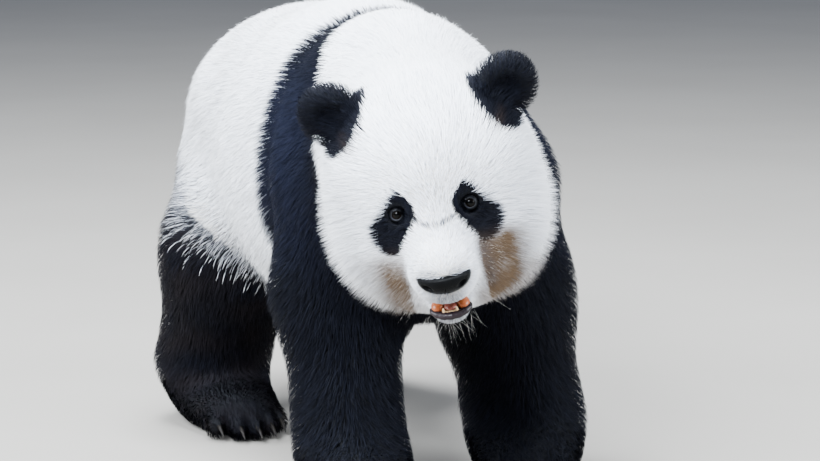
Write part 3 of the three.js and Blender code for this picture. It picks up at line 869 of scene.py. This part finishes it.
def growCoat():
    # each lock is a strip of three lengths across its middle line, and narrows to a point
    n = len(roots)
    fringe = np.exp(-(hindBlack(roots, bodyParts(roots)) / coat["fringe"]) ** 2)  # finer at the hind legs' edge
    line, lie, stray = growLines(fringe)
    line, tip = gather(line)
    across = np.cross(rootNormals, lie)
    twist = chance.normal(0, coat["twist"], n)
    flat = across * np.cos(twist)[:, None] + rootNormals * np.sin(twist)[:, None]
    width = (1 - coat["fringeFiner"] * fringe) * rootWidth * np.where(stray, 0.6, chance.uniform(0.75, 1.25, n))
    profile = np.array([0.9, 1.0, 0.62])
    half = 0.5 * width[:, None, None] * profile[None, :, None] * flat[:, None]
    left, right, end = line[:, :3] - half, line[:, :3] + half, line[:, 3:]
    points = np.concatenate([left, right, end], 1)
    points[..., 2] = np.maximum(points[..., 2], 0.6)  # the coat ends at the floor
    along = np.broadcast_to(np.concatenate([lockSteps[:3], lockSteps]), (n, pointsPerLock))
    # normals lean to each side of the strip, so that a flat lock takes light as a round one
    lean = coat["lean"] * np.array([-1, -1, -0.7, 1, 1, 0.7, 0])[None, :, None]
    shading = rootNormals[:, None] + lean * across[:, None] + 0.25 * lie[:, None] * along[..., None]
    shading = unit(shading + coat["jitter"] * chance.normal(size=(n, 1, 3)))
    shown = coat["shown"] + (coat["shownOnHead"] - coat["shown"]) * rootOnHead
    middle = roots + shown[:, None] * (tip - roots)
    return {"points": points, "along": along, "normals": shading, "middle": middle}


locks = growCoat()
middleParts = bodyParts(locks["middle"])
lockBlack = blackness(locks["middle"], middleParts, np.clip(chance.normal(0, 1, len(roots)), -2.2, 2.2)) > 0.5


def stainAndShadeOf(points, parts):
    # tan on the lower cheeks from the muzzle outwards, further out on its left, on the jowl and at the ears'
    # corners, cream on the rump and the belly: products of ramps across each place, made patchy by the sway
    # on the cheeks and the jowl the tan is partly stain and partly painted shade, darker low down, beside the
    # muzzle and on its left
    q = parts["q"]
    side = np.abs(q[:, 0])
    onHead = ramp(parts["head"], 30, 5)
    left = np.where(q[:, 0] > 0, 1.0, 0.0)
    patchy = 0.6 + 0.4 * sway(points, 30, 21)
    upper = -34 + 14 * left - 0.3 * (side - 60) + 8 * patchy  # how high on the cheek it starts
    outward = 0.6 * ramp(side + 8 * patchy, 84 + 16 * left, 128 + 14 * left)
    outward += 0.4 * ramp(side + 14 * patchy, 115, 174)
    cheek = ramp(side, 49, 60) * (1 - outward) * ramp(q[:, 2], upper + 14, upper - 22)
    cheek *= ramp(q[:, 1], 20, -50) * onHead * (1.12 + 0.18 * left) * chance.uniform(0.74, 1.0, len(q))
    jowl = ramp(q[:, 2], -95, -125) * ramp(side, 20, 50) * ramp(q[:, 1], 40, -30) * onHead * (0.3 + 0.4 * left)
    earCorner = np.exp(-((side - 112) / 9) ** 2 - ((q[:, 2] - 110) / 8) ** 2) * ramp(side, 135, 115) * onHead
    rump = ramp(points[:, 1], 250, 560) * ramp(points[:, 2], 400, 600) * (1 - onHead)
    belly = ramp(points[:, 2], 430, 330) * ramp(points[:, 1], 160, 240) * (1 - onHead)
    total = np.maximum(cheek * (0.8 + 0.25 * patchy), jowl) + 0.75 * earCorner
    return np.clip(total + (0.26 * rump + 0.2 * belly) * patchy + 0.02, 0, 1)


def smokeAndShadeOf(points, parts):
    # grey hairs above the nose, below it down to the lip and on the chin, painted shade in the fold left of the
    # muzzle
    # and in a broken crease between the eyes, and grey hairs where the white of the flank runs out over the hind
    # legs:
    # the sum of bell curves and ramps about each place, times chance
    q = parts["q"]
    side = np.abs(q[:, 0])
    front = ramp(q[:, 1], -150, -172)
    above = np.exp(-((q[:, 2] + 35) / 7) ** 2) * ramp(side, 42, 28) * front
    below = ramp(q[:, 2], -58, -66) * ramp(side, 36, 12) * front
    chin = ramp(q[:, 2], -118, -126) * ramp(q[:, 1], -110, -130) * ramp(side, 40, 20) * 0.8
    # painted shade along the crease between the eyes, broken up by the sway
    crease = np.exp(-((q[:, 2] - 18 - 0.006 * side ** 2) / 3.2) ** 2)
    crease *= ramp(side, 38, 28) * ramp(q[:, 1], -80, -92)
    # painted shade in the groove beside the muzzle on its left, the shaded side
    foldShade = np.exp(-((side - 64) / 11) ** 2) * ramp(q[:, 0], 40, 50)
    foldShade *= ramp(q[:, 2], -4, -26) * ramp(q[:, 2], -132, -104)
    broken = np.clip(0.65 + 0.9 * sway(q.astype(float), 5, 77), 0, 1)
    flank = 0.9 * np.exp(-((hindBlack(points, parts) + 4) / 32) ** 2) * ramp(parts["tail"], 15, 50)
    total = above + below + chin + 0.6 * foldShade + 2.6 * crease * broken + flank
    return np.clip(total * chance.uniform(0.2, 1.0, len(q)), 0, 1)


lockStainAndShade = stainAndShadeOf(locks["middle"], middleParts)
x, y, z = locks["middle"].T
# on the black, the smoke is a lighter blue painted on the shoulder band as the sheen where light falls on it
onBand = ramp(z, 330, 460) * ramp(z, 720, 600) * ramp(y, -160, -40)
lockSmokeShadeAndSheen = np.where(lockBlack, 0.3 * onBand, smokeAndShadeOf(locks["middle"], middleParts))
lockTone = np.clip(0.5 + 0.2 * chance.normal(size=len(roots)) + 0.12 * sway(roots, 9, 31), 0, 1)
biggest = rootShare.argmax(1)
onHead = np.isin(biggest, [partNumber[name] for name in ("head", "earRight", "earLeft")])
onLegs = np.isin(biggest, [partNumber[name] for name in legs])
onTrunk = np.isin(biggest, [partNumber[name] for name in ("trunk", "tail")])
trunkMiddle = 30  # mm: x of the plane between the flanks


def unwrap(points):
    # the skin's own shape laid flat: round the head from its middle, and round the trunk's or a leg's axis
    q = headLocal(points)
    far = unit(q)
    headMap = np.stack([np.arctan2(far[:, 0], -far[:, 1]) / (2 * math.pi) + 0.5,
                        np.arcsin(np.clip(far[:, 2], -1, 1)) / math.pi + 0.5], -1)
    x, y, z = points[:, 0] - trunkMiddle, points[:, 1], points[:, 2]
    trunkMap = np.stack([np.arctan2(x, z - 480) / (2 * math.pi) + 0.5, (y + 400) / 1300], -1)
    axisX, axisY = np.where(x > 0, 160, -110), np.where(y > 330, 600, -20)
    legMap = np.stack([np.arctan2(x + trunkMiddle - axisX, y - axisY) / (2 * math.pi) + 0.5, z / 800], -1)
    return np.where(onHead[:, None], headMap, np.where(onLegs[:, None], legMap, trunkMap))


rootMap = unwrap(roots)
stripCorners = np.array([0, 1, 4, 3, 1, 2, 5, 4, 2, 6, 5])  # two quads and a triangle, facing out
stripStarts = np.array([0, 4, 8])


def coatPiece(name, chosen, material):
    # the chosen locks as one mesh, each with its own place on the map, tone, stain and smoke, which carry painted
    # shade and sheen as well
    number = np.flatnonzero(chosen)
    if len(number) < 40:  # no piece of its own for a few stray hairs
        return
    n = len(number)
    corners = (stripCorners[None] + pointsPerLock * np.arange(n)[:, None]).ravel()
    starts = (stripStarts[None] + len(stripCorners) * np.arange(n)[:, None]).ravel()
    mesh = fillMesh(name, locks["points"][number].reshape(-1, 3), corners, starts)
    putAttribute(mesh, "along", locks["along"][number].ravel())
    for key, values in (("tone", lockTone), ("stainAndShade", lockStainAndShade), ("smokeShadeAndSheen", lockSmokeShadeAndSheen)):
        putAttribute(mesh, key, np.repeat(values[number], pointsPerLock))
    offset = 0.003 * np.stack([np.array([0, 0, 0.3, 1, 1, 0.7, 0.5]), locks["along"][0]], -1)
    layout = (rootMap[number][:, None] + offset[None]).reshape(-1, 2)
    bake = mesh.uv_layers.new(name="OFBake")
    bake.data.foreach_set("uv", layout[corners].astype(np.float32).ravel())
    shading = mesh.attributes.new("custom_normal", "FLOAT_VECTOR", "POINT")
    shading.data.foreach_set("vector", locks["normals"][number].astype(np.float32).ravel())
    addPiece(name, mesh, material)
    print(name, n * 5, "triangles")


areas = {
    "head_right": onHead & (headLocal(roots)[:, 0] < 0),
    "head_left": onHead & (headLocal(roots)[:, 0] >= 0),
    **{leg["node"]: biggest == partNumber[name] for name, leg in legs.items()},
    "neck": biggest == partNumber["neck"],
    "flank_right": onTrunk & (roots[:, 0] < trunkMiddle),
    "flank_left": onTrunk & (roots[:, 0] >= trunkMiddle),
}
for area, chosen in areas.items():
    coatPiece(f"coat_white_{area}", chosen & ~lockBlack, whiteHair)
    coatPiece(f"coat_black_{area}", chosen & lockBlack, blackHair)

eyeShape = {"rings": 36, "columns": 48, "corneaRise": 0.9, "corneaWidth": 0.52, "outward": 5, "downward": -17}
irisShades = [  # share of 1.2 radians from the look, and the shade there: pupil, iris, its dark rim, the white
    (0.0, "#010101"), (0.26, "#010101"), (0.31, "#0b0705"), (0.47, "#100a06"),
    (0.56, "#030202"), (0.7, "#0e0c0b"), (1.0, "#2a2624"),
]
lid = {
    "halfWidth": 7.2, "upper": 6.2, "lower": 6.0, "tilt": 14, "columns": 56,
    # ring by ring, the angle past the opening and the height over the eyeball in mm
    "spread": (0.16, 0.06, 0, -0.01, 0.02, 0.09, 0.19, 0.31, 0.45, 0.6, 0.76, 0.93, 1.1, 1.3),
    "rise": (-1.2, -0.2, 0.5, 1.2, 1.7, 1.9, 1.8, 1.9, 1.7, 1.3, 0.6, -0.6, -2.4, -5.0),
    "spreadScale": 0.72,
    "rimRing": 4.5, "rimWidth": 1.6,  # where the wet rim is
}
noTriangles = np.zeros((0, 3), int)


def eyeMaterial():
    # A wet eye: a clear tear film over a dark brown iris that rings a black pupil, on a grey-brown white.
    # The iris has fibres about 1 mm apart.
    material, tree, shader = newMaterial(
        "wetEye", Roughness=0.25, IOR=1.38, Specular_IOR_Level=0.05, Coat_Weight=0.14, Coat_Roughness=0.05)
    turn = addNode(tree, "ShaderNodeAttribute", attribute_name="fromPupil").outputs["Fac"]
    shades = addNode(tree, "ShaderNodeValToRGB", {"Fac": turn})
    elements = shades.color_ramp.elements
    elements[0].color, elements[1].color = linear(irisShades[0][1]), linear(irisShades[-1][1])
    for position, shade in irisShades[1:-1]:
        elements.new(position).color = linear(shade)
    _, _, shade = clouded(tree, 1.111, "#b0b0b0", "#ffffff", Detail=2)
    sockets = {factor: 1.0, colourA: shades.outputs["Color"], colourB: shade}
    full = addNode(tree, "ShaderNodeMix", sockets, data_type="RGBA", blend_type="MULTIPLY")
    finish(tree, shader, full.outputs[mixed])
    return material


def lidMaterial():
    # Bare eyelid: black hide, thin and finely creased, wet, and pale where the rim meets the eye as a painted
    # highlight.
    material, tree, shader = newMaterial("eyelidHide", Roughness=0.5, IOR=1.45, Specular_IOR_Level=0.2)
    _, crease, dark = clouded(tree, 0.7143, "#050608", "#0f1014", Detail=3)
    rimHighlight = addNode(tree, "ShaderNodeAttribute", attribute_name="rimHighlight").outputs["Fac"]
    full = addNode(tree, "ShaderNodeMix", {factor: rimHighlight, colourA: dark, colourB: "#25272e"}, data_type="RGBA")
    finish(tree, shader, full.outputs[mixed], crease, 0.4, 0.6)
    return material


def eyeFrame(side):
    # columns: outward along the look, sideways, up; in the head's frame
    return turnOf(eyeShape["outward"] * side, eyeShape["downward"], 0)


def eyeBall(side):
    # a ball whose front swells by the cornea's rise, as a bell curve of the angle from the look
    angle = np.linspace(0, math.pi, eyeShape["rings"] + 2)[1:-1]
    circle = np.linspace(0, 2 * math.pi, eyeShape["columns"], endpoint=False)
    a, b = np.meshgrid(angle, circle, indexing="ij")
    radius = eye["radius"] + eyeShape["corneaRise"] * np.exp(-(a / eyeShape["corneaWidth"]) ** 2)
    local = np.stack([np.sin(a) * np.cos(b), -np.cos(a), np.sin(a) * np.sin(b)], -1) * radius[..., None]
    turn, centre = eyeFrame(side), onSide(eye["place"], side)
    front = eye["radius"] + eyeShape["corneaRise"]
    rings = fromHead(centre + local @ turn.T)
    poles = fromHead(centre + np.array([[0, -front, 0], [0, eye["radius"], 0]]) @ turn.T)
    mesh = meshOf("eye", [closedForm(rings, poles[0], poles[1])])
    putAttribute(mesh, "fromPupil", np.concatenate([[0], (a / 1.2).ravel(), [2.6]]))
    return mesh


def lidRings(side):
    # a rim carried round the almond opening: it starts under the edge, rolls over it and sinks into the skin
    circle = np.linspace(0, 2 * math.pi, lid["columns"], endpoint=False)
    height = np.where(np.sin(circle) > 0, lid["upper"], lid["lower"])
    pinch = 1 - 0.22 * np.abs(np.cos(circle)) ** 3
    across, up = lid["halfWidth"] * np.cos(circle), height * np.sin(circle) * pinch
    tilt = math.radians(lid["tilt"]) * side
    across, up = across * math.cos(tilt) + up * math.sin(tilt), -across * math.sin(tilt) + up * math.cos(tilt)
    opening = np.arcsin(np.clip(np.hypot(across, up) / (eye["radius"] + 0.6), 0, 0.98))
    facing = np.arctan2(up, across)
    spread, rise = np.array(lid["spread"]) * lid["spreadScale"], np.array(lid["rise"])
    v = np.linspace(0, 1, len(rise))
    folds = 0.28 * np.sin(v * 30)[:, None] * ramp(v, 0.35, 0.6)[:, None]
    angle = opening[None] + spread[:, None]
    radius = eye["radius"] + rise[:, None] + folds
    local = np.stack([np.sin(angle) * np.cos(facing), -np.cos(angle), np.sin(angle) * np.sin(facing)], -1)
    return fromHead(onSide(eye["place"], side) + (local * radius[..., None]) @ eyeFrame(side).T)


def lidBand(side):
    # the rings closed round and the last joined to the first, with how bright the wet rim's painted highlight is
    # at each point
    rings = lidRings(side)
    rows, columns = rings.shape[:2]
    number = np.arange(rows * columns).reshape(rows, columns)
    beside = np.roll(number, -1, axis=1)
    below, belowBeside = np.roll(number, -1, axis=0), np.roll(beside, -1, axis=0)
    quads = np.stack([number, beside, belowBeside, below], -1).reshape(-1, 4)
    mesh = meshOf("lids", [(rings.reshape(-1, 3), quads, noTriangles)])
    rimShare = np.exp(-((np.arange(rows) - lid["rimRing"]) / lid["rimWidth"]) ** 2)
    facing = np.linspace(0, 2 * math.pi, columns, endpoint=False)
    # the rim's painted highlight is brightest at one lower corner and, less, near the top, where a wet rim
    # catches the light
    glintByAngle = 0.12 + 0.88 * np.maximum(np.cos(facing - 3.9), 0) + 0.3 * np.maximum(np.cos(facing - 1.2), 0) ** 2
    putAttribute(mesh, "rimHighlight", (rimShare[:, None] * np.clip(glintByAngle, 0, 1)[None]).ravel())
    return mesh


eyeGloss, lidHide = eyeMaterial(), lidMaterial()
for sideName, side in (("right", -1), ("left", 1)):
    addPiece(f"eyeball_{sideName}", eyeBall(side), eyeGloss, [f"eye_{sideName}"])
    addPiece(f"eyelids_{sideName}", lidBand(side), lidHide)
print("eyes are set")


def noseMaterial():
    # Rhinarium: black hairless leather, cobbled in 1.2 mm grains and wet enough to catch the light.
    material, tree, shader = newMaterial(
        "nosePadLeather", Roughness=0.5, IOR=1.45, Specular_IOR_Level=0.05,
        Coat_Weight=0.03, Coat_Roughness=0.2)
    place, _, colour = clouded(tree, 8.333, "#020202", "#060709", Detail=3)
    sockets = {"Scale": perMetre(1.205), "Vector": place}
    grain = addNode(tree, "ShaderNodeTexVoronoi", sockets, feature="DISTANCE_TO_EDGE").outputs["Distance"]
    height = addNode(tree, "ShaderNodeMapRange", {"Value": grain, "From Max": 0.25}).outputs[0]
    finish(tree, shader, colour, height, 0.45, 0.5)
    return material


nosePoints, noseQuads = netOver(noseSurface, nosePad["low"], nosePad["high"], nosePad["cell"])
nosePoints = settle(noseSurface, nosePoints, 0.4, 1.0)
noseMesh = meshOf("nose", [(fromHead(nosePoints), noseQuads, noTriangles)])
addPiece("nose_pad", noseMesh, noseMaterial(), ["nose"])

lowerLip = {  # its path from the right corner to the middle, the other half being its mirror image
    "path": [(-28, -139, -113), (-26, -146, -115.5), (-15, -156, -118), (0, -160, -118.5)],
    "radius": (2.4, 4.6, 6.0, 6.2), "rings": 61, "columns": 22, "flatness": 0.9, "wrinkle": 0.03,
}


def curveThrough(corners, count):
    # a smooth path through mirrored corners: each coordinate by a Catmull-Rom spline
    half = np.array(corners, float)
    whole = np.concatenate([half, (half * (-1, 1, 1))[-2::-1]])
    padded = np.concatenate([[2 * whole[0] - whole[1]], whole, [2 * whole[-1] - whole[-2]]])
    place = np.linspace(0, len(whole) - 1 - 1e-6, count)
    k, t = place.astype(int), (place % 1)[:, None]
    a, b, c, d = padded[k], padded[k + 1], padded[k + 2], padded[k + 3]
    square, cube = (2 * a - 5 * b + 4 * c - d) * t ** 2, (3 * b - a - 3 * c + d) * t ** 3
    return 0.5 * (2 * b + (c - a) * t + square + cube)


def tubeAlong(path, radius, columns, flatness, wrinkle):
    # circles of the given radius carried along a path, squashed by flatness, with small creases across it
    way = unit(np.gradient(path, axis=0))
    sideways = unit(np.cross(way, np.array([0, 0, 1.0])))
    top = np.cross(sideways, way)
    circle = np.linspace(0, 2 * math.pi, columns, endpoint=False)
    creases = 1 + wrinkle * np.sin(np.arange(len(path)) * 1.9)[:, None, None]
    sine, cosine = np.sin(circle)[None, :, None], np.cos(circle)[None, :, None]
    ring = cosine * sideways[:, None] + flatness * sine * top[:, None]
    rings = path[:, None] + ring * (radius[:, None, None] * creases)
    first, last = path[0] - way[0] * radius[0], path[-1] + way[-1] * radius[-1]
    return closedForm(fromHead(rings), fromHead(first), fromHead(last))


def lipTube():
    # the tube along the lower lip, whose radius runs through those given and swells a little in waves
    half, count = np.array(lowerLip["radius"], float), lowerLip["rings"]
    whole = np.concatenate([half, half[-2::-1]])
    radius = np.interp(np.linspace(0, len(whole) - 1, count), np.arange(len(whole)), whole)
    radius = (1 + 0.05 * np.sin(np.arange(count) * 0.9)) * radius
    path = curveThrough(lowerLip["path"], count)
    return tubeAlong(path, radius, lowerLip["columns"], lowerLip["flatness"], lowerLip["wrinkle"])


tongue = {
    "halfWidth": 10, "front": -157, "back": -108, "height": -110, "rise": 4.5, "depth": 3.5,
    "rings": 26, "columns": 40,
}
gumPad = {"centre": (18.5, -138, -111), "radii": (9.5, 14, 8), "rings": 16, "columns": 28}


def tongueForm():
    # a low dome that narrows to a round front, its top grooved along the middle
    t = np.linspace(0.02, 0.98, tongue["rings"])
    circle = np.linspace(0, 2 * math.pi, tongue["columns"], endpoint=False)
    halfWidth = tongue["halfWidth"] * np.sqrt(np.clip(1 - (2 * t - 1) ** 4, 0, 1))
    y = tongue["front"] + (tongue["back"] - tongue["front"]) * t
    x = halfWidth[:, None] * np.cos(circle)
    lift = np.where(np.sin(circle) > 0, tongue["rise"], tongue["depth"]) * np.sin(circle)
    groove = 1.2 * np.exp(-(x / 2.5) ** 2) * (np.sin(circle) > 0)
    z = tongue["height"] + lift * np.sqrt(np.clip(halfWidth / tongue["halfWidth"], 0, 1))[:, None] - groove
    rings = np.stack([x, np.broadcast_to(y[:, None], x.shape), z], -1)
    ends = [(0, tongue["front"] - 0.5, tongue["height"]), (0, tongue["back"] + 0.5, tongue["height"])]
    return closedForm(fromHead(rings), fromHead(ends[0]), fromHead(ends[1]))


def gumForm(side):
    # an upright egg of gum between the tongue and the cheek
    angle = np.linspace(0, math.pi, gumPad["rings"] + 2)[1:-1, None]
    circle = np.linspace(0, 2 * math.pi, gumPad["columns"], endpoint=False)[None]
    centre, radii = onSide(gumPad["centre"], side), np.array(gumPad["radii"])
    local = [np.sin(angle) * np.cos(circle), np.sin(angle) * np.sin(circle), np.cos(angle) + 0 * circle]
    local = np.stack(local, -1)
    ends = centre + np.array([[0, 0, 1], [0, 0, -1]]) * radii
    return closedForm(fromHead(centre + local * radii), fromHead(ends[0]), fromHead(ends[1]))


def tongueMaterial():
    # Tongue: wet orange-pink flesh, rough with papillae about 1 mm across.
    material, tree, shader = newMaterial(
        "wetTongue", Roughness=0.35, IOR=1.4, Coat_Weight=0.4, Coat_Roughness=0.15,
        Subsurface_Weight=0.15, Subsurface_Radius=(0.003, 0.001, 0.0006))
    place, _, colour = clouded(tree, 7.143, "#6b3028", "#92503f", Detail=3)
    grain = addNode(tree, "ShaderNodeTexVoronoi", {"Scale": perMetre(1), "Vector": place}).outputs["Distance"]
    finish(tree, shader, colour, grain, 0.4, 0.5)
    return material


def cloudedMaterial(name, apart, dark, pale, detail=2, strength=0, depth=0, **values):
    # two shades in soft clouds, so many mm apart, with a bump of the same clouds where it has a strength
    material, tree, shader = newMaterial(name, **values)
    _, cloud, colour = clouded(tree, apart, dark, pale, Detail=detail)
    finish(tree, shader, colour, cloud if strength else None, strength, depth)
    return material


# Lip: hairless slate and plum hide in 4 mm clouds, wet along the top so that it shines in streaks.
wetLip = cloudedMaterial(
    "wetLip", 3.846, "#060406", "#22141b", 4, 0.5, 0.8,
    Roughness=0.45, IOR=1.42, Specular_IOR_Level=0.25, Coat_Weight=0.12, Coat_Roughness=0.15)
# Gum: stained orange by plant juice, wet, with veins 5 or 6 mm apart.
stainedGum = cloudedMaterial(
    "stainedGum", 5.556, "#7a2c0a", "#c4682c", 3, Roughness=0.4, IOR=1.4, Coat_Weight=0.25, Coat_Roughness=0.15)
# Enamel: ivory with an amber stain in patches, smooth and a little clear.
stainedEnamel = cloudedMaterial("stainedEnamel", 4.545, "#c58a4c", "#f0d9ae", Roughness=0.25, IOR=1.62)
# Whisker: one stiff clear hair, pale grey along its length, with a gloss.
whiskerHair = cloudedMaterial("whiskerHair", 11.11, "#8d8983", "#c9c6c1", Roughness=0.35, IOR=1.55)
# Horn: dark brown keratin in fibres 2 to 3 mm apart, worn dull.
clawHorn = cloudedMaterial(
    "clawHorn", 2.381, "#060505", "#1c1815", 4, 0.3, 0.4, Roughness=0.6, IOR=1.54, Specular_IOR_Level=0.15)
# Floor paint: pale, matt, with clouds as wide as a stride.
mattFloorPaint = cloudedMaterial("mattFloorPaint", 666.7, "#85817b", "#8f8b85", 4, Roughness=0.9)


def spike(base, tip, radius, bend, rings=10, columns=12, blunt=0.5):
    # a tapered form along a parabola from base to tip: radius falls as (1 - t) to the power blunt
    t = np.linspace(0, 0.97, rings)
    way = np.array(tip, float) - np.array(base, float)
    path = np.array(base, float) + t[:, None] * way + (t * (1 - t))[:, None] * 4 * np.array(bend, float)
    ahead = unit(np.gradient(path, axis=0))
    sideways = unit(np.cross(ahead, np.array([0.02, 0.1, 1.0])))
    top = np.cross(sideways, ahead)
    circle = np.linspace(0, 2 * math.pi, columns, endpoint=False)
    ring = np.cos(circle)[None, :, None] * sideways[:, None] + np.sin(circle)[None, :, None] * top[:, None]
    size = radius * np.clip(1 - t, 0, 1) ** blunt
    return path[:, None] + ring * size[:, None, None], path[0] - ahead[0] * 0.4 * radius, np.array(tip, float)


teeth = {
    "count": 6, "apart": 2.6, "radius": 2.0, "middle": -1, "front": -157.5,
    "foot": -114, "top": -112, "outerTop": -111.5,
    "canineFoot": (9.4, -155, -116), "canineTip": (9.2, -157, -106.5),
    "canineRadius": 2.4, "canineBend": (0.4, -0.5, 0),
}


def teethForms():
    # six low lower front teeth, the outer pair a little taller, between two canines
    forms, middle = [], teeth["middle"]
    for number in range(teeth["count"]):
        x = (number - (teeth["count"] - 1) / 2) * teeth["apart"] + middle
        y = teeth["front"] + 0.02 * x * x
        top = teeth["outerTop"] if number in (0, teeth["count"] - 1) else teeth["top"]
        form = spike((x, y + 1.5, teeth["foot"]), (x, y - 0.5, top), teeth["radius"], (0, 0, 0), blunt=0.35)
        forms.append(closedForm(*map(fromHead, form)))
    for side in (-1, 1):
        foot, tip = (onSide(teeth[key], side) + (middle, 0, 0) for key in ("canineFoot", "canineTip"))
        form = spike(foot, tip, teeth["canineRadius"], onSide(teeth["canineBend"], side), blunt=0.3)
        forms.append(closedForm(*map(fromHead, form)))
    return forms


whiskers = {  # where they grow on the head, how many a side, length in mm and thickness, and which way
    "lip": {
        "middle": (36, -160, -78), "spread": (10, 10, 9), "count": 5, "length": (30, 58), "thick": 0.14,
        "way": (0.9, -0.1, -0.6),
    },
    "brow": {
        "middle": (38, -112, 58), "spread": (8, 4, 5), "count": 3, "length": (20, 32), "thick": 0.2,
        "way": (0.4, -0.6, 0.7),
    },
    "chin": {
        "middle": (13, -147, -129), "spread": (22, 22, 6), "count": 20, "length": (14, 36), "thick": 0.09,
        "way": (0.3, -0.15, -1.0),
    },
}
whiskerHang = {"fan": 0.28, "droop": 0.12, "arch": 0.04}  # how they spread, sink and bow, the last two by length


def whiskerForms(shape):
    # fine tapered hairs that leave the skin along one way, fan out by chance and droop
    forms = []
    for side in (-1, 1):
        for _ in range(shape["count"]):
            base = (np.array(shape["middle"]) + chance.normal(size=3) * shape["spread"] * 0.5) * (side, 1, 1)
            way = unit(np.array(shape["way"]) + whiskerHang["fan"] * chance.normal(size=3)) * (side, 1, 1)
            long = chance.uniform(*shape["length"])
            tip = base + way * long + (0, 0, -whiskerHang["droop"] * long)
            form = spike(base, tip, shape["thick"], (0, 0, whiskerHang["arch"] * long), 5, 4, 0.8)
            forms.append(closedForm(*map(fromHead, form)))
    return forms


for place, shape in whiskers.items():
    addPiece(f"whiskers_{place}", meshOf("whiskers", whiskerForms(shape)), whiskerHair)
addPiece("lower_lip", meshOf("lowerLip", [lipTube()]), wetLip)
addPiece("tongue_flesh", meshOf("tongueFlesh", [tongueForm()]), tongueMaterial(), ["tongue"])
addPiece("gums", meshOf("gums", [gumForm(side) for side in (-1, 1)]), stainedGum)
addPiece("front_teeth", meshOf("teeth", teethForms()), stainedEnamel)
print("nose and mouth are in place")

claw = {  # from the middle of its toe, in mm: where it starts and where its tip is
    "back": 14, "front": 44, "up": 1, "down": 18, "radius": 4.8, "bend": (0, -1, 4), "blunt": 0.6,
    "rings": 12, "columns": 14,
}


def clawForms(leg):
    # five curved horns, one from the front of each toe, that arch forwards and point at the floor
    forms = []
    turn, foot = turnOf(leg["toeIn"]), np.array((*leg["foot"], 0.0))
    for number in range(toe["count"]):
        x, y, z = toePlace(number, leg["pad"]["reach"])
        base, tip = (x, y - claw["back"], z + claw["up"]), (x, y - claw["front"], z - claw["down"])
        form = spike(base, tip, claw["radius"], claw["bend"], claw["rings"], claw["columns"], claw["blunt"])
        forms.append(closedForm(*(foot + points @ turn.T for points in form)))
    return forms


for leg in legs.values():
    names = [f"{leg['node']}_claw_{number}" for number in range(1, toe["count"] + 1)]
    addPiece(f"claws_{leg['node']}", meshOf("claws", clawForms(leg)), clawHorn, names)
print("claws are in place")

studio = {
    "floor": 40.0, "target": (-33, -200, 455), "azimuth": -17, "elevation": 9, "distance": 4.4, "lens": 125.1,
    "aim": (0, -0.2, 0.4), "lampColour": (0.88, 0.94, 1.0), "sky": "#aab6cf", "skyStrength": 0.72,
    "lamps": {  # place in metres, width of the disc, power in watts
        "key": ((-3.6, -4.4, 4.4), 2.4, 1900),
        "top": ((-0.4, 0.4, 5.0), 3.0, 1200),
        "side": ((-5.0, 0.6, 2.6), 3.0, 640),
        "fill": ((4.2, -2.6, 2.2), 3.0, 560),
    },
}


def studioFloor():
    # a wide square, level with the soles
    mesh = bpy.data.meshes.new("floor")
    half = studio["floor"]
    corners = [(-half, -half, 0), (half, -half, 0), (half, half, 0), (-half, half, 0)]
    mesh.from_pydata(corners, [], [(0, 1, 2, 3)])
    mesh.materials.append(mattFloorPaint)
    floor = bpy.data.objects.new("floor", mesh)
    bpy.context.scene.collection.objects.link(floor)


def softLight(name, place, size, power):
    # a round lamp whose back looks away from the aim
    data = bpy.data.lights.new(name, "AREA")
    data.shape, data.size, data.energy = "DISK", size, power
    data.color = studio["lampColour"]
    lamp = bpy.data.objects.new(name, data)
    lamp.location = place
    lamp.rotation_mode = "QUATERNION"
    lamp.rotation_quaternion = (Vector(place) - Vector(studio["aim"])).to_track_quat("Z", "Y")
    bpy.context.scene.collection.objects.link(lamp)


studioFloor()
for name, lamp in studio["lamps"].items():
    softLight(name, *lamp)
world = bpy.data.worlds.new("studio")
world.use_nodes = True
background = world.node_tree.nodes["Background"]
background.inputs["Color"].default_value = linear(studio["sky"])
background.inputs["Strength"].default_value = studio["skyStrength"]
bpy.context.scene.world = world
azimuth, elevation = math.radians(studio["azimuth"]), math.radians(studio["elevation"])
level = math.cos(elevation)
away = Vector((math.sin(azimuth) * level, -math.cos(azimuth) * level, math.sin(elevation)))
cameraData = bpy.data.cameras.new("camera")
cameraData.sensor_width, cameraData.lens = 36, studio["lens"]
camera = bpy.data.objects.new("camera", cameraData)
camera.location = Vector(toScene(studio["target"])) + away * studio["distance"]
camera.rotation_mode = "QUATERNION"
camera.rotation_quaternion = away.to_track_quat("Z", "Y")
bpy.context.scene.collection.objects.link(camera)
bpy.context.scene.camera = camera
print("floor, light and camera are ready")
